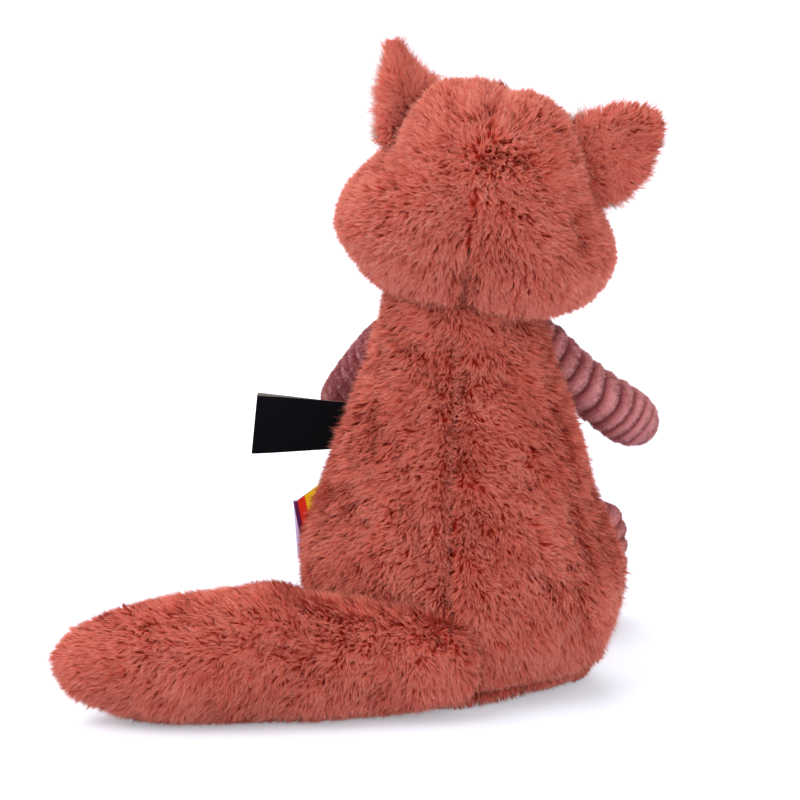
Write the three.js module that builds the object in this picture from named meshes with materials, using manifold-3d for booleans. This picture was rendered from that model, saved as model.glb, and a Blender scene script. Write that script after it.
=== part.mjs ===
// A seated plush raccoon: fur body, head, ears and tail, corduroy arms, legs and belly.
// Millimetres. +Z is up, the face looks along -Y, and the toy sits on the plane Z = 0.
// The toy's own left is +X. Pieces of cloth are shells over the stuffing that they hold.
import * as THREE from 'three';
import { mergeVertices } from 'three/addons/utils/BufferGeometryUtils.js';
import Module from 'manifold-3d';

const wasm = await Module();
wasm.setup();

// Cloth and fits
const GAP = 0.3;
const SEAM_GAP = 0.4;
const SOCKET_GAP = 0.8;
const FUR = 5;
const CORDUROY = 2;
const FELT = 1.4;
const RIBBON = 0.5;
const PRESSED_FLAT = 0.5;
const BALL_AROUND = 16;
const BALL_ROWS = 10;
const OVERRUN = 4;

// Body. The armholes lie a little below its top.
const SHOULDER_HEIGHT = 134;
const SHOULDER_DROP = 20;
const BODY_HEIGHT = SHOULDER_HEIGHT + SHOULDER_DROP;
const BODY_WIDTH = 124;
const BODY_DEPTH = 100;
const BODY_SQUARENESS = 2.2;
const BODY_AROUND = 20;
const SIDE_SEAM_Y = -4;
const SEAT_PANEL_HEIGHT = 8;
const PELLET_BAG_HEIGHT = 24;
// Height, width and depth of each ring, from the floor to the neck
const bodyShares = [
  [0.0, 0.73, 0.84],
  [0.035, 0.84, 0.925],
  [0.11, 0.915, 0.97],
  [0.21, 0.985, 1.0],
  [0.3, 1.0, 1.0],
  [0.39, 0.975, 0.97],
  [0.51, 0.875, 0.9],
  [0.64, 0.775, 0.8],
  [0.77, 0.665, 0.7],
  [0.89, 0.567, 0.61],
  [1.0, 0.5, 0.54],
];

// Neck: a stuffed ball that the head and the body are gathered on
const NECK_SINK = 4;
const NECK_HEIGHT = BODY_HEIGHT - NECK_SINK;
const NECK_RADIUS = 24;
const COLLAR_DROP = 2;

// Head, measured from its own middle
const HEAD_ABOVE_NECK = 53;
const HEAD_BELOW = 46;
const HEAD_HEIGHT = 87.5;
const HEAD_WIDTH = 111;
const HEAD_DEPTH = 88;
const HEAD_SQUARENESS = 2.2;
const HEAD_AROUND = 20;
const HEAD_LEAN_ANGLE = -9;
const FACE_SEAM_Y = -12;
// Height, width and depth of each ring, from the chin to the crown
const headShares = [
  [0.0, 0.3, 0.36],
  [0.03, 0.58, 0.55],
  [0.11, 0.84, 0.76],
  [0.2, 0.95, 0.87],
  [0.3, 1.0, 0.94],
  [0.39, 0.975, 0.98],
  [0.5, 0.88, 1.0],
  [0.63, 0.745, 0.97],
  [0.76, 0.64, 0.88],
  [0.87, 0.53, 0.73],
  [0.95, 0.39, 0.52],
  [0.985, 0.24, 0.3],
];

// Muzzle and nose, in the head's frame
const MUZZLE_WIDTH = 40;
const MUZZLE_HEIGHT = 29;
const MUZZLE_LENGTH = 44;
const MUZZLE_REACH = 62;
const MUZZLE_DROP = 17;
const MUZZLE_CLOTH = 3;
const MUZZLE_AROUND = 14;
const MUZZLE_ROWS = 7;
const NOSE_WIDTH = 14;
const NOSE_HEIGHT = 9.5;
const NOSE_DEPTH = 5.5;
const NOSE_LIFT = 3;
const NOSE_SINK = 7;

// Safety eyes: a dome on a stem that a washer locks behind the cloth
const EYE_RADIUS = 5.2;
const EYE_HEIGHT = 3.4;
const EYE_ACROSS = 18;
const EYE_UP = 4;
const STEM_RADIUS = 1.6;
const WASHER_RADIUS = 4.2;
const WASHER_THICKNESS = 1.6;
const WASHER_DEPTH = 0.9;
const STEM_TAIL = 1.5;
const ROUND_STEPS = 12;
const DOME_ROWS = 5;

// Eye patches
const PATCH_LENGTH = 34;
const PATCH_WIDTH = 21;
const PATCH_TILT_ANGLE = -24;
const PATCH_SHIFT = 6;
const PATCH_DROP = 2;

// Ears, each on a base line that is sewn into the head, in the head's frame
const EAR_BASE = 34;
const EAR_LENGTH = 33;
const EAR_THICKNESS = 10;
const EAR_ROOT_RADIUS = 4.6;
const EAR_SQUARENESS = 2.4;
const EAR_AROUND = 12;
const EAR_CLEARANCE = 2;
// How far out, how wide and how thick each ring is
const earShares = [
  [0.0, 1.0, 0.9],
  [0.22, 1.02, 1.0],
  [0.45, 0.98, 1.0],
  [0.65, 0.84, 0.95],
  [0.82, 0.6, 0.85],
  [0.94, 0.33, 0.65],
];
// Middle of the base line, how far the ear points up and turns to the side,
// the lean of its tip and how early it starts, and how much it narrows on the way
const EAR_LEFT = {
  side: 1,
  across: 32.5,
  up: 24,
  tiltAngle: 38,
  turnAngle: 40,
  lean: 18,
  bendPower: 1,
  pinchShare: 0.45,
};
const EAR_RIGHT = {
  side: -1,
  across: 35,
  up: 19,
  tiltAngle: 25,
  turnAngle: 6,
  lean: 7,
  bendPower: 3,
  pinchShare: 0,
};

// Arms
const ARM_LENGTH = 63;
const ARM_RADIUS = 10;
const ARM_AROUND = 12;
const ARMHOLE_RADIUS = 8.4;
const ARMHOLE_DEPTH = 4;
const ARM_OPENING_RADIUS = 5.5;
const ARM_CLEARANCE = 1.2;
const ARM_DISH_RADIUS = 76;
const ARM_DISH_DEPTH = 14;
// Radius and depth of each ring of the dish, from its bottom to its middle
const armDishShares = [
  [1.0, 1.0],
  [1.0, 0.576],
  [0.75, 0.324],
  [0.5, 0.144],
  [0.25, 0.036],
];
// Angle off the body's side, and angle forwards from straight down
const ARM_LEFT = { side: 1, outAngle: 9, forwardAngle: 54 };
const ARM_RIGHT = { side: -1, outAngle: 25, forwardAngle: 26 };
const armShares = [
  [0.02, 0.45],
  [0.07, 0.8],
  [0.15, 1.0],
  [0.32, 1.0],
  [0.5, 1.0],
  [0.66, 1.05],
  [0.8, 1.16],
  [0.9, 1.0],
  [0.965, 0.68],
];
// Places along the arm and how far its middle bows out
const armPathShares = [
  [-0.09, 0.0],
  [0.4, 0.2],
  [0.91, 0.0],
];

// Legs, each from its hip ball: along the floor, then up to the toes
const HIP_ACROSS = 32;
const HIP_FORWARD = 42;
const HIP_HEIGHT = 17;
const HIP_RADIUS = 15.5;
const HIP_OPENING_RADIUS = 9;
const LEG_SPREAD_ANGLE = 20;
const LEG_REACH = 60;
const LEG_RADIUS = 14.5;
const FOOT_HEIGHT = 54;
const LEG_AROUND = 12;
// How far along the leg the foot is sewn on
const FOOT_SEAM_SHARE = 0.74;
const legShares = [
  [0.02, 0.5],
  [0.07, 0.86],
  [0.16, 1.0],
  [0.32, 1.0],
  [0.46, 1.0],
  [0.58, 1.02],
  [0.68, 1.04],
  [0.79, 1.02],
  [0.89, 0.95],
  [0.96, 0.66],
];
// Places along the floor and up the foot
const legPathShares = [
  [-0.1, 0.0],
  [0.35, 0.0],
  [0.75, 0.02],
  [0.96, 0.22],
  [1.0, 0.6],
  [0.97, 1.0],
];

// Tail, from its root ball behind the seat
const TAIL_ROOT_Y = 50;
const TAIL_ROOT_HEIGHT = 20;
const TAIL_ROOT_RADIUS = 15;
const TAIL_OPENING_RADIUS = 7;
const TAIL_LENGTH = 153;
const TAIL_SWEEP = 20;
const TAIL_HEIGHT = 51;
const TAIL_DEPTH = 46;
const TAIL_AROUND = 12;
// Along, thickness, how far the middle has moved back, and the height of the underside
const tailShares = [
  [0.0, 0.6, 0.0, 0.16],
  [0.1, 0.8, 0.0, 0.07],
  [0.22, 0.88, 0.12, 0.03],
  [0.37, 0.94, 0.32, 0.0],
  [0.52, 1.0, 0.5, 0.0],
  [0.66, 0.97, 0.66, 0.0],
  [0.78, 0.87, 0.8, 0.04],
  [0.88, 0.68, 0.9, 0.14],
  [0.96, 0.38, 0.97, 0.29],
];

// Care label and ribbon tag in the left side seam
// The flare is the share of the body's lean that the outer end keeps
const CARE_LABEL = { height: 104, tall: 24, reach: 37, thickness: 1.8, flareShare: 0.3 };
const RIBBON_TAG = { height: 66, tall: 25, reach: 8, thickness: 3, flareShare: 0 };
const TRIM_CLEARANCE = 0.15;

const REACH = 2 * (BODY_HEIGHT + HEAD_HEIGHT);
const radians = THREE.MathUtils.degToRad;
const vector = (x, y, z) => new THREE.Vector3(x, y, z);

// Materials
const cloth = (color, roughness = 0.95) => new THREE.MeshStandardMaterial({ color, roughness });
const coralFur = cloth(0xbb5b4b);
const paleFur = cloth(0xe6d3c2);
const darkFelt = cloth(0x4b2c2e);
const roseCorduroy = cloth(0x9c5a5f, 0.9);
const polyester = cloth(0xf0eeea);
const calico = cloth(0xd9cbb4);
const blackSatin = cloth(0x14141a, 0.45);
const stripedRibbon = cloth(0xa3263c, 0.5);
const blackPlastic = cloth(0x0d0d10, 0.2);
const clearPlastic = cloth(0xd8dadc, 0.4);

// A closed mesh as a solid that can be cut and joined
function solid(geometry) {
  const bare = new THREE.BufferGeometry();
  bare.setAttribute('position', geometry.getAttribute('position'));
  bare.setIndex(geometry.index);
  const merged = mergeVertices(bare);
  return new wasm.Manifold(new wasm.Mesh({
    numProp: 3,
    vertProperties: new Float32Array(merged.attributes.position.array),
    triVerts: new Uint32Array(merged.index.array),
  }));
}

// A solid as a named mesh
function piece(name, shape, material) {
  const { vertProperties, triVerts } = shape.getMesh();
  const geometry = new THREE.BufferGeometry();
  geometry.setAttribute('position', new THREE.BufferAttribute(vertProperties, 3));
  geometry.setIndex(new THREE.BufferAttribute(triVerts, 1));
  geometry.computeVertexNormals();
  const mesh = new THREE.Mesh(geometry, material);
  mesh.name = name;
  return mesh;
}

function group(...children) {
  const whole = new THREE.Group();
  whole.add(...children);
  return whole;
}

const joined = (...shapes) => shapes.reduce((whole, shape) => whole.add(shape));
const cut = (shape, ...cutters) => cutters.reduce((rest, cutter) => rest.subtract(cutter), shape);
const moved = (shape, matrix) => shape.transform(matrix.elements);

// A box between two corners
function block(low, high) {
  const size = high.clone().sub(low);
  const middle = low.clone().add(high).multiplyScalar(0.5);
  return solid(new THREE.BoxGeometry(...size).translate(...middle));
}

// All of space on one side of a plane square to an axis
function beyond(axis, place, side = 1) {
  const low = vector(-REACH, -REACH, -REACH);
  const high = vector(REACH, REACH, REACH);
  (side > 0 ? low : high)[axis] = place;
  return block(low, high);
}

// A ball about a point
function ball(radius, middle = vector(0, 0, 0)) {
  return solid(new THREE.SphereGeometry(radius, BALL_AROUND, BALL_ROWS).translate(...middle));
}

// A rod along Z between two heights
function rod(radius, from, to) {
  const cylinder = new THREE.CylinderGeometry(radius, radius, to - from, ROUND_STEPS);
  return solid(cylinder.rotateX(Math.PI / 2).translate(0, 0, (from + to) / 2));
}

// A closed form through rings of points, from a start point to an end point.
// Each ring has its middle and its two half axes, and wide x deep points to the next ring.
function loft(rings, start, end, around, squareness = 2) {
  const bulge = (value) => Math.sign(value) * Math.abs(value) ** (2 / squareness);
  const points = rings.flatMap(({ middle, wide, deep }) => Array.from({ length: around }, (_, step) => {
    const turn = (2 * Math.PI * step) / around;
    const point = middle.clone().addScaledVector(wide, bulge(Math.cos(turn)));
    return point.addScaledVector(deep, bulge(Math.sin(turn)));
  }));
  const first = points.length;
  const last = points.push(start);
  points.push(end);
  const top = (rings.length - 1) * around;
  const faces = [];
  for (let step = 0; step < around; step += 1) {
    const next = (step + 1) % around;
    faces.push(first, next, step, last, top + step, top + next);
    for (let row = 0; row < top; row += around) {
      faces.push(row + step, row + next, row + around + next);
      faces.push(row + step, row + around + next, row + around + step);
    }
  }
  const geometry = new THREE.BufferGeometry().setFromPoints(points);
  geometry.setIndex(faces);
  geometry.computeVertexNormals();
  return geometry;
}

// A form with its surface moved out, or in where the amount is below zero
function grown(form, amount) {
  const geometry = form.clone();
  const { position, normal } = geometry.attributes;
  for (let index = 0; index < position.count; index += 1) {
    const point = new THREE.Vector3().fromBufferAttribute(position, index);
    const way = new THREE.Vector3().fromBufferAttribute(normal, index);
    point.addScaledVector(way, amount);
    position.setXYZ(index, ...point);
  }
  return solid(geometry);
}

// An upright form from a table of heights, widths and depths
function uprightForm(shares, { bottom, height, width, depth, squareness, around }) {
  const rings = shares.map(([up, wide, deep]) => ({
    middle: vector(0, 0, bottom + up * height),
    wide: vector((wide * width) / 2, 0, 0),
    deep: vector(0, (deep * depth) / 2, 0),
  }));
  return loft(rings, vector(0, 0, bottom), vector(0, 0, bottom + height), around, squareness);
}

// A limb along a curve, from a table of places along it and thicknesses.
// The side direction stays square to the curve.
function limbForm(shares, { points, side, radius, around }) {
  const curve = new THREE.CatmullRomCurve3(points, false, 'centripetal');
  const rings = shares.map(([along, thick]) => ({
    middle: curve.getPointAt(along),
    wide: side.clone().multiplyScalar(thick * radius),
    deep: curve.getTangentAt(along).cross(side).multiplyScalar(thick * radius),
  }));
  return loft(rings, curve.getPointAt(0), curve.getPointAt(1), around);
}

// A frame whose Z axis points a given way from a point
function facing(point, way) {
  const turn = new THREE.Quaternion().setFromUnitVectors(vector(0, 0, 1), way);
  return new THREE.Matrix4().compose(point, turn, vector(1, 1, 1));
}

// Forms of the body and the head
const bodyForm = uprightForm(bodyShares, {
  bottom: -PRESSED_FLAT,
  height: BODY_HEIGHT,
  width: BODY_WIDTH,
  depth: BODY_DEPTH,
  squareness: BODY_SQUARENESS,
  around: BODY_AROUND,
});
const headForm = uprightForm(headShares, {
  bottom: -HEAD_BELOW,
  height: HEAD_HEIGHT,
  width: HEAD_WIDTH,
  depth: HEAD_DEPTH,
  squareness: HEAD_SQUARENESS,
  around: HEAD_AROUND,
});

// Half width of the body at a height
function bodyHalfWidth(height) {
  const share = (height + PRESSED_FLAT) / BODY_HEIGHT;
  const row = bodyShares.findIndex(([up]) => up > share);
  const [below, above] = [bodyShares[row - 1], bodyShares[row]];
  const part = (share - below[0]) / (above[0] - below[0]);
  return (THREE.MathUtils.lerp(below[1], above[1], part) * BODY_WIDTH) / 2;
}

// How far the body's side leans in at a height, as an angle from upright
function bodyLean(height) {
  const step = BODY_HEIGHT / bodyShares.length;
  return Math.atan2(bodyHalfWidth(height - step / 2) - bodyHalfWidth(height + step / 2), step);
}

// Frame of an arm: Z out of the body's side, X down along it, from the middle of the armhole
function armFrame({ side }) {
  const lean = bodyLean(SHOULDER_HEIGHT);
  const out = vector(side * Math.cos(lean), 0, Math.sin(lean));
  const down = vector(side * Math.sin(lean), 0, -Math.cos(lean));
  const frame = new THREE.Matrix4().makeBasis(down, out.clone().cross(down), out);
  return frame.setPosition(side * bodyHalfWidth(SHOULDER_HEIGHT), SIDE_SEAM_Y, SHOULDER_HEIGHT);
}

// Frame of a leg: -Y along the leg, from the middle of the hip ball
function legFrame(side) {
  const frame = new THREE.Matrix4().makeRotationZ(side * radians(LEG_SPREAD_ANGLE));
  return frame.setPosition(side * HIP_ACROSS, -HIP_FORWARD, HIP_HEIGHT);
}

const tailFrame = new THREE.Matrix4().makeTranslation(0, TAIL_ROOT_Y, TAIL_ROOT_HEIGHT);
const neckMiddle = vector(0, 0, NECK_HEIGHT);

// Frame of the head, which leans to one side about the middle of the neck
const headFrame = new THREE.Matrix4()
  .makeTranslation(0, 0, NECK_HEIGHT)
  .multiply(new THREE.Matrix4().makeRotationY(radians(HEAD_LEAN_ANGLE)))
  .multiply(new THREE.Matrix4().makeTranslation(0, 0, HEAD_ABOVE_NECK));

// Frame of an ear: X along its base line to the lower end, Z out to the tip
function earFrame({ side, across, up, tiltAngle, turnAngle }) {
  const tilt = radians(tiltAngle);
  const turn = radians(turnAngle);
  const out = vector(side * Math.cos(tilt), 0, Math.sin(tilt));
  const level = vector(side * Math.sin(tilt), 0, -Math.cos(tilt));
  const along = level.multiplyScalar(Math.cos(turn)).add(vector(0, Math.sin(turn), 0));
  const frame = new THREE.Matrix4().makeBasis(along, out.clone().cross(along), out);
  return frame.setPosition(side * across, 0, up);
}

// Body: fur panels sewn at the back, the sides and the seat, over stuffing and a bag of pellets
function bodyPieces() {
  const openings = joined(
    beyond('z', NECK_HEIGHT - COLLAR_DROP),
    ball(NECK_RADIUS + SOCKET_GAP, neckMiddle),
    ball(TAIL_ROOT_RADIUS + SOCKET_GAP, vector(0, TAIL_ROOT_Y, TAIL_ROOT_HEIGHT)),
    ...[ARM_LEFT, ARM_RIGHT].map((arm) => moved(armhole(GAP), armFrame(arm))),
    ...[1, -1].map((side) => moved(ball(HIP_RADIUS + SOCKET_GAP), legFrame(side))),
    beyond('z', 0, -1),
  );
  const whole = cut(solid(bodyForm), openings);
  const skin = whole.subtract(grown(bodyForm, -FUR));
  const filling = grown(bodyForm, -FUR - GAP).subtract(openings);
  const seam = SEAM_GAP / 2;
  const upper = beyond('z', SEAT_PANEL_HEIGHT + seam);
  const back = skin.intersect(upper).intersect(beyond('y', SIDE_SEAM_Y + seam));
  const belly = skin.intersect(upper).intersect(beyond('y', SIDE_SEAM_Y - seam, -1));
  const seat = skin.intersect(beyond('z', SEAT_PANEL_HEIGHT - seam, -1));
  return group(
    piece('body_back_left', back.intersect(beyond('x', seam)), coralFur),
    piece('body_back_right', back.intersect(beyond('x', -seam, -1)), coralFur),
    piece('belly_panel', belly, roseCorduroy),
    piece('seat_panel', seat, coralFur),
    piece('body_stuffing', filling.intersect(beyond('z', PELLET_BAG_HEIGHT + GAP)), polyester),
    piece('pellet_bag', filling.intersect(beyond('z', PELLET_BAG_HEIGHT, -1)), calico),
  );
}

// Neck: the gathered ball between the collar and the head
function neckPieces() {
  const neck = group(piece('neck', ball(NECK_RADIUS), coralFur));
  neck.position.copy(neckMiddle);
  return neck;
}

// The head's front at a place across and up, in its own frame
function headFront(across, up) {
  const share = (up + HEAD_BELOW) / HEAD_HEIGHT;
  const row = headShares.findIndex(([height]) => height > share);
  const [below, above] = [headShares[row - 1], headShares[row]];
  const part = (share - below[0]) / (above[0] - below[0]);
  const wide = (THREE.MathUtils.lerp(below[1], above[1], part) * HEAD_WIDTH) / 2;
  const deep = (THREE.MathUtils.lerp(below[2], above[2], part) * HEAD_DEPTH) / 2;
  const round = (1 - Math.abs(across / wide) ** HEAD_SQUARENESS) ** (1 / HEAD_SQUARENESS);
  return vector(across, -deep * round, up);
}

// Frame on the head's front, with Z pointing out of the face
function faceFrame(across, up) {
  const step = EYE_RADIUS;
  const right = headFront(across + step, up).sub(headFront(across - step, up));
  const higher = headFront(across, up + step).sub(headFront(across, up - step));
  return facing(headFront(across, up), right.cross(higher).normalize());
}

// How deep the parts of a button lie behind the surface of its cloth
function buttonDepths(clothDepth) {
  const front = clothDepth + WASHER_DEPTH;
  const back = front + WASHER_THICKNESS;
  return { front, back, end: back + STEM_TAIL };
}

// The washer that locks a stem behind the cloth, in the button's frame
function washer(clothDepth) {
  const { front, back } = buttonDepths(clothDepth);
  return rod(WASHER_RADIUS, -back, -front).subtract(rod(STEM_RADIUS + GAP, -back - OVERRUN, OVERRUN));
}

const stem = (clothDepth) => rod(STEM_RADIUS, -buttonDepths(clothDepth).end, 2 * FELT);
const stemHole = () => rod(STEM_RADIUS + GAP, -FUR - OVERRUN, FELT + OVERRUN);
const washerPocket = (clothDepth) => rod(WASHER_RADIUS + GAP, -buttonDepths(clothDepth).end - GAP, 0);

const muzzleForm = new THREE.SphereGeometry(1, MUZZLE_AROUND, MUZZLE_ROWS)
  .scale(MUZZLE_WIDTH / 2, MUZZLE_LENGTH / 2, MUZZLE_HEIGHT / 2)
  .translate(0, MUZZLE_LENGTH / 2 - MUZZLE_REACH, -MUZZLE_DROP);
// The nose sits on the muzzle's front, a little above its middle
const noseSeat = (MUZZLE_LENGTH / 2) * Math.sqrt(1 - ((2 * NOSE_LIFT) / MUZZLE_HEIGHT) ** 2);
const noseFrame = facing(
  vector(0, MUZZLE_LENGTH / 2 - MUZZLE_REACH - noseSeat, NOSE_LIFT - MUZZLE_DROP),
  vector(0, -1, 0),
);

// Muzzle: a stuffed cap on the face, with the nose locked through it
function muzzlePieces() {
  const face = grown(headForm, GAP);
  const nose = new THREE.SphereGeometry(1, ROUND_STEPS, DOME_ROWS)
    .scale(NOSE_WIDTH / 2, NOSE_HEIGHT / 2, NOSE_DEPTH);
  const dome = cut(moved(solid(nose), noseFrame), grown(muzzleForm, GAP));
  const panel = cut(solid(muzzleForm), grown(muzzleForm, -MUZZLE_CLOTH), face, moved(stemHole(), noseFrame));
  const filling = grown(muzzleForm, -MUZZLE_CLOTH - GAP).subtract(face);
  return [
    piece('muzzle_panel', panel, paleFur),
    piece('muzzle_stuffing', cut(filling, moved(washerPocket(NOSE_SINK), noseFrame)), polyester),
    piece('nose', dome.add(moved(stem(NOSE_SINK), noseFrame)), blackPlastic),
    piece('nose_washer', moved(washer(NOSE_SINK), noseFrame), clearPlastic),
  ];
}

// One side of the face: the felt patch, the eye on it and the washer behind
function eyePieces(name, side) {
  const frame = faceFrame(side * EYE_ACROSS, EYE_UP);
  const seat = FELT + 2 * GAP;
  const dome = solid(new THREE.SphereGeometry(1, ROUND_STEPS, DOME_ROWS)
    .scale(EYE_RADIUS, EYE_RADIUS, EYE_HEIGHT)
    .translate(0, 0, seat)).intersect(beyond('z', seat));
  const outline = new THREE.CylinderGeometry(PATCH_LENGTH / 2, PATCH_LENGTH / 2, 2 * EYE_ACROSS, EAR_AROUND)
    .rotateX(Math.PI / 2)
    .scale(1, PATCH_WIDTH / PATCH_LENGTH, 1)
    .rotateZ(side * radians(PATCH_TILT_ANGLE));
  const place = faceFrame(side * (EYE_ACROSS + PATCH_SHIFT), EYE_UP - PATCH_DROP);
  const felt = grown(headForm, GAP + FELT).subtract(grown(headForm, GAP));
  const patch = cut(
    felt.intersect(moved(solid(outline), place)),
    grown(muzzleForm, GAP),
    moved(stemHole(), frame),
  );
  return [
    piece(`eye_patch_${name}`, patch, darkFelt),
    piece(`eye_${name}`, moved(dome.add(stem(FUR)), frame), blackPlastic),
    piece(`eye_washer_${name}`, moved(washer(FUR), frame), clearPlastic),
  ];
}

// The rod along the root of an ear, in the ear's frame
function earRoot(radius, length) {
  const cylinder = new THREE.CylinderGeometry(radius, radius, length, ROUND_STEPS);
  return solid(cylinder.rotateZ(Math.PI / 2));
}

// An ear: two halves of cloth on a rolled root that lies in a groove of the head
function earPieces(name, ear) {
  const rings = earShares.map(([out, wide, thick]) => ({
    middle: vector(-(out ** ear.bendPower) * ear.lean, 0, out * EAR_LENGTH),
    wide: vector(((1 - ear.pinchShare * out) * wide * EAR_BASE) / 2, 0, 0),
    deep: vector(0, (thick * EAR_THICKNESS) / 2, 0),
  }));
  const tip = vector(-ear.lean, 0, EAR_LENGTH);
  const form = loft(rings, vector(0, 0, 0), tip, EAR_AROUND, EAR_SQUARENESS);
  const head = moved(grown(headForm, EAR_CLEARANCE), earFrame(ear).invert());
  const whole = solid(form).subtract(head).add(earRoot(EAR_ROOT_RADIUS, EAR_BASE - EAR_THICKNESS));
  const seam = SEAM_GAP / 2;
  const pieces = group(
    piece(`ear_back_${name}`, whole.intersect(beyond('y', ear.side * seam, ear.side)), coralFur),
    piece(`ear_lining_${name}`, whole.intersect(beyond('y', -ear.side * seam, -ear.side)), paleFur),
  );
  pieces.applyMatrix4(earFrame(ear));
  return pieces;
}

// Head: two back panels and a face panel over the stuffing, with the muzzle, the eyes and the ears
function headPieces() {
  const seam = SEAM_GAP / 2;
  const groove = earRoot(EAR_ROOT_RADIUS + GAP, EAR_BASE - EAR_THICKNESS + 2 * GAP);
  const openings = joined(
    ball(NECK_RADIUS + SOCKET_GAP, vector(0, 0, -HEAD_ABOVE_NECK)),
    ...[EAR_LEFT, EAR_RIGHT].map((ear) => moved(groove, earFrame(ear))),
  );
  const eyes = [1, -1].map((side) => faceFrame(side * EYE_ACROSS, EYE_UP));
  const holes = eyes.map((eye) => moved(stemHole(), eye));
  const skin = cut(solid(headForm), openings, grown(headForm, -FUR), ...holes);
  const back = skin.intersect(beyond('y', FACE_SEAM_Y + seam));
  const pockets = eyes.map((eye) => moved(washerPocket(FUR), eye));
  const filling = cut(grown(headForm, -FUR - GAP), openings, ...pockets);
  const head = group(
    piece('head_back_left', back.intersect(beyond('x', seam)), coralFur),
    piece('head_back_right', back.intersect(beyond('x', -seam, -1)), coralFur),
    piece('face_panel', skin.intersect(beyond('y', FACE_SEAM_Y - seam, -1)), coralFur),
    piece('head_stuffing', filling, polyester),
    ...muzzlePieces(),
    ...eyePieces('left', 1),
    ...eyePieces('right', -1),
    earPieces('left', EAR_LEFT),
    earPieces('right', EAR_RIGHT),
  );
  head.applyMatrix4(headFrame);
  return head;
}

// The shallow dish that keeps an arm clear of the body's round side as it swings
function armDish(lift) {
  const rings = armDishShares.map(([out, drop]) => ({
    middle: vector(0, 0, lift - drop * ARM_DISH_DEPTH),
    wide: vector(out * ARM_DISH_RADIUS, 0, 0),
    deep: vector(0, out * ARM_DISH_RADIUS, 0),
  }));
  const bottom = rings[0].middle;
  return solid(loft(rings, bottom, vector(0, 0, lift), BODY_AROUND));
}

// The armhole in the body, in the arm's frame
const armhole = (gap) => rod(ARMHOLE_RADIUS + gap, -ARMHOLE_DEPTH - gap, OVERRUN);

// An arm: a corduroy tube with a round hand, sewn into the armhole by its collar
function armPieces(name, arm) {
  const out = radians(arm.outAngle);
  const forward = radians(arm.forwardAngle);
  const level = Math.cos(out);
  const way = vector(level * Math.cos(forward), -arm.side * level * Math.sin(forward), Math.sin(out));
  const along = (share, lift) => way.clone().multiplyScalar(share * ARM_LENGTH).add(vector(0, 0, lift));
  const form = limbForm(armShares, {
    points: armPathShares.map(([share, lift]) => along(share, lift * ARM_RADIUS)),
    side: vector(0, 0, 1).cross(way).normalize(),
    radius: ARM_RADIUS,
    around: ARM_AROUND,
  });
  const collar = rod(ARMHOLE_RADIUS, -ARMHOLE_DEPTH, ARM_CLEARANCE + CORDUROY);
  const cavity = grown(form, -CORDUROY).subtract(armDish(ARM_CLEARANCE + CORDUROY));
  const opening = rod(ARM_OPENING_RADIUS, -ARMHOLE_DEPTH - OVERRUN, ARM_CLEARANCE + 2 * CORDUROY);
  const skin = cut(solid(form).subtract(armDish(ARM_CLEARANCE)).add(collar), cavity, opening);
  const filling = grown(form, -CORDUROY - GAP)
    .subtract(armDish(ARM_CLEARANCE + CORDUROY + GAP))
    .add(rod(ARM_OPENING_RADIUS - GAP, -ARMHOLE_DEPTH, ARM_CLEARANCE + 2 * CORDUROY));
  const pieces = group(
    piece(`arm_${name}`, skin, roseCorduroy),
    piece(`arm_stuffing_${name}`, filling, polyester),
  );
  pieces.applyMatrix4(armFrame(arm));
  return pieces;
}

// A leg: a hip ball in the body and a tube along the floor, with a foot sewn on that has its toes up
function legPieces(name, side) {
  const low = LEG_RADIUS - PRESSED_FLAT - HIP_HEIGHT;
  const lift = FOOT_HEIGHT - HIP_HEIGHT - low;
  const form = limbForm(legShares, {
    points: legPathShares.map(([along, up]) => vector(0, -along * LEG_REACH, low + up * lift)),
    side: vector(1, 0, 0),
    radius: LEG_RADIUS,
    around: LEG_AROUND,
  });
  const floor = beyond('z', -HIP_HEIGHT, -1);
  const mouth = facing(vector(0, 0, 0), vector(0, 1, 0));
  const opening = moved(rod(HIP_OPENING_RADIUS, 0, HIP_RADIUS + OVERRUN), mouth);
  const plug = moved(rod(HIP_OPENING_RADIUS - GAP, 0, HIP_RADIUS), mouth).intersect(ball(HIP_RADIUS));
  const filling = grown(form, -CORDUROY - GAP).add(plug);
  const skin = cut(solid(form).add(ball(HIP_RADIUS)), grown(form, -CORDUROY), opening, floor);
  const seam = SEAM_GAP / 2;
  const ankle = -FOOT_SEAM_SHARE * LEG_REACH;
  const pieces = group(
    piece(`leg_${name}`, skin.intersect(beyond('y', ankle + seam)), roseCorduroy),
    piece(`foot_${name}`, skin.intersect(beyond('y', ankle - seam, -1)), roseCorduroy),
    piece(`leg_stuffing_${name}`, cut(filling, beyond('z', CORDUROY + GAP - HIP_HEIGHT, -1)), polyester),
  );
  pieces.applyMatrix4(legFrame(side));
  return pieces;
}

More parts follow.
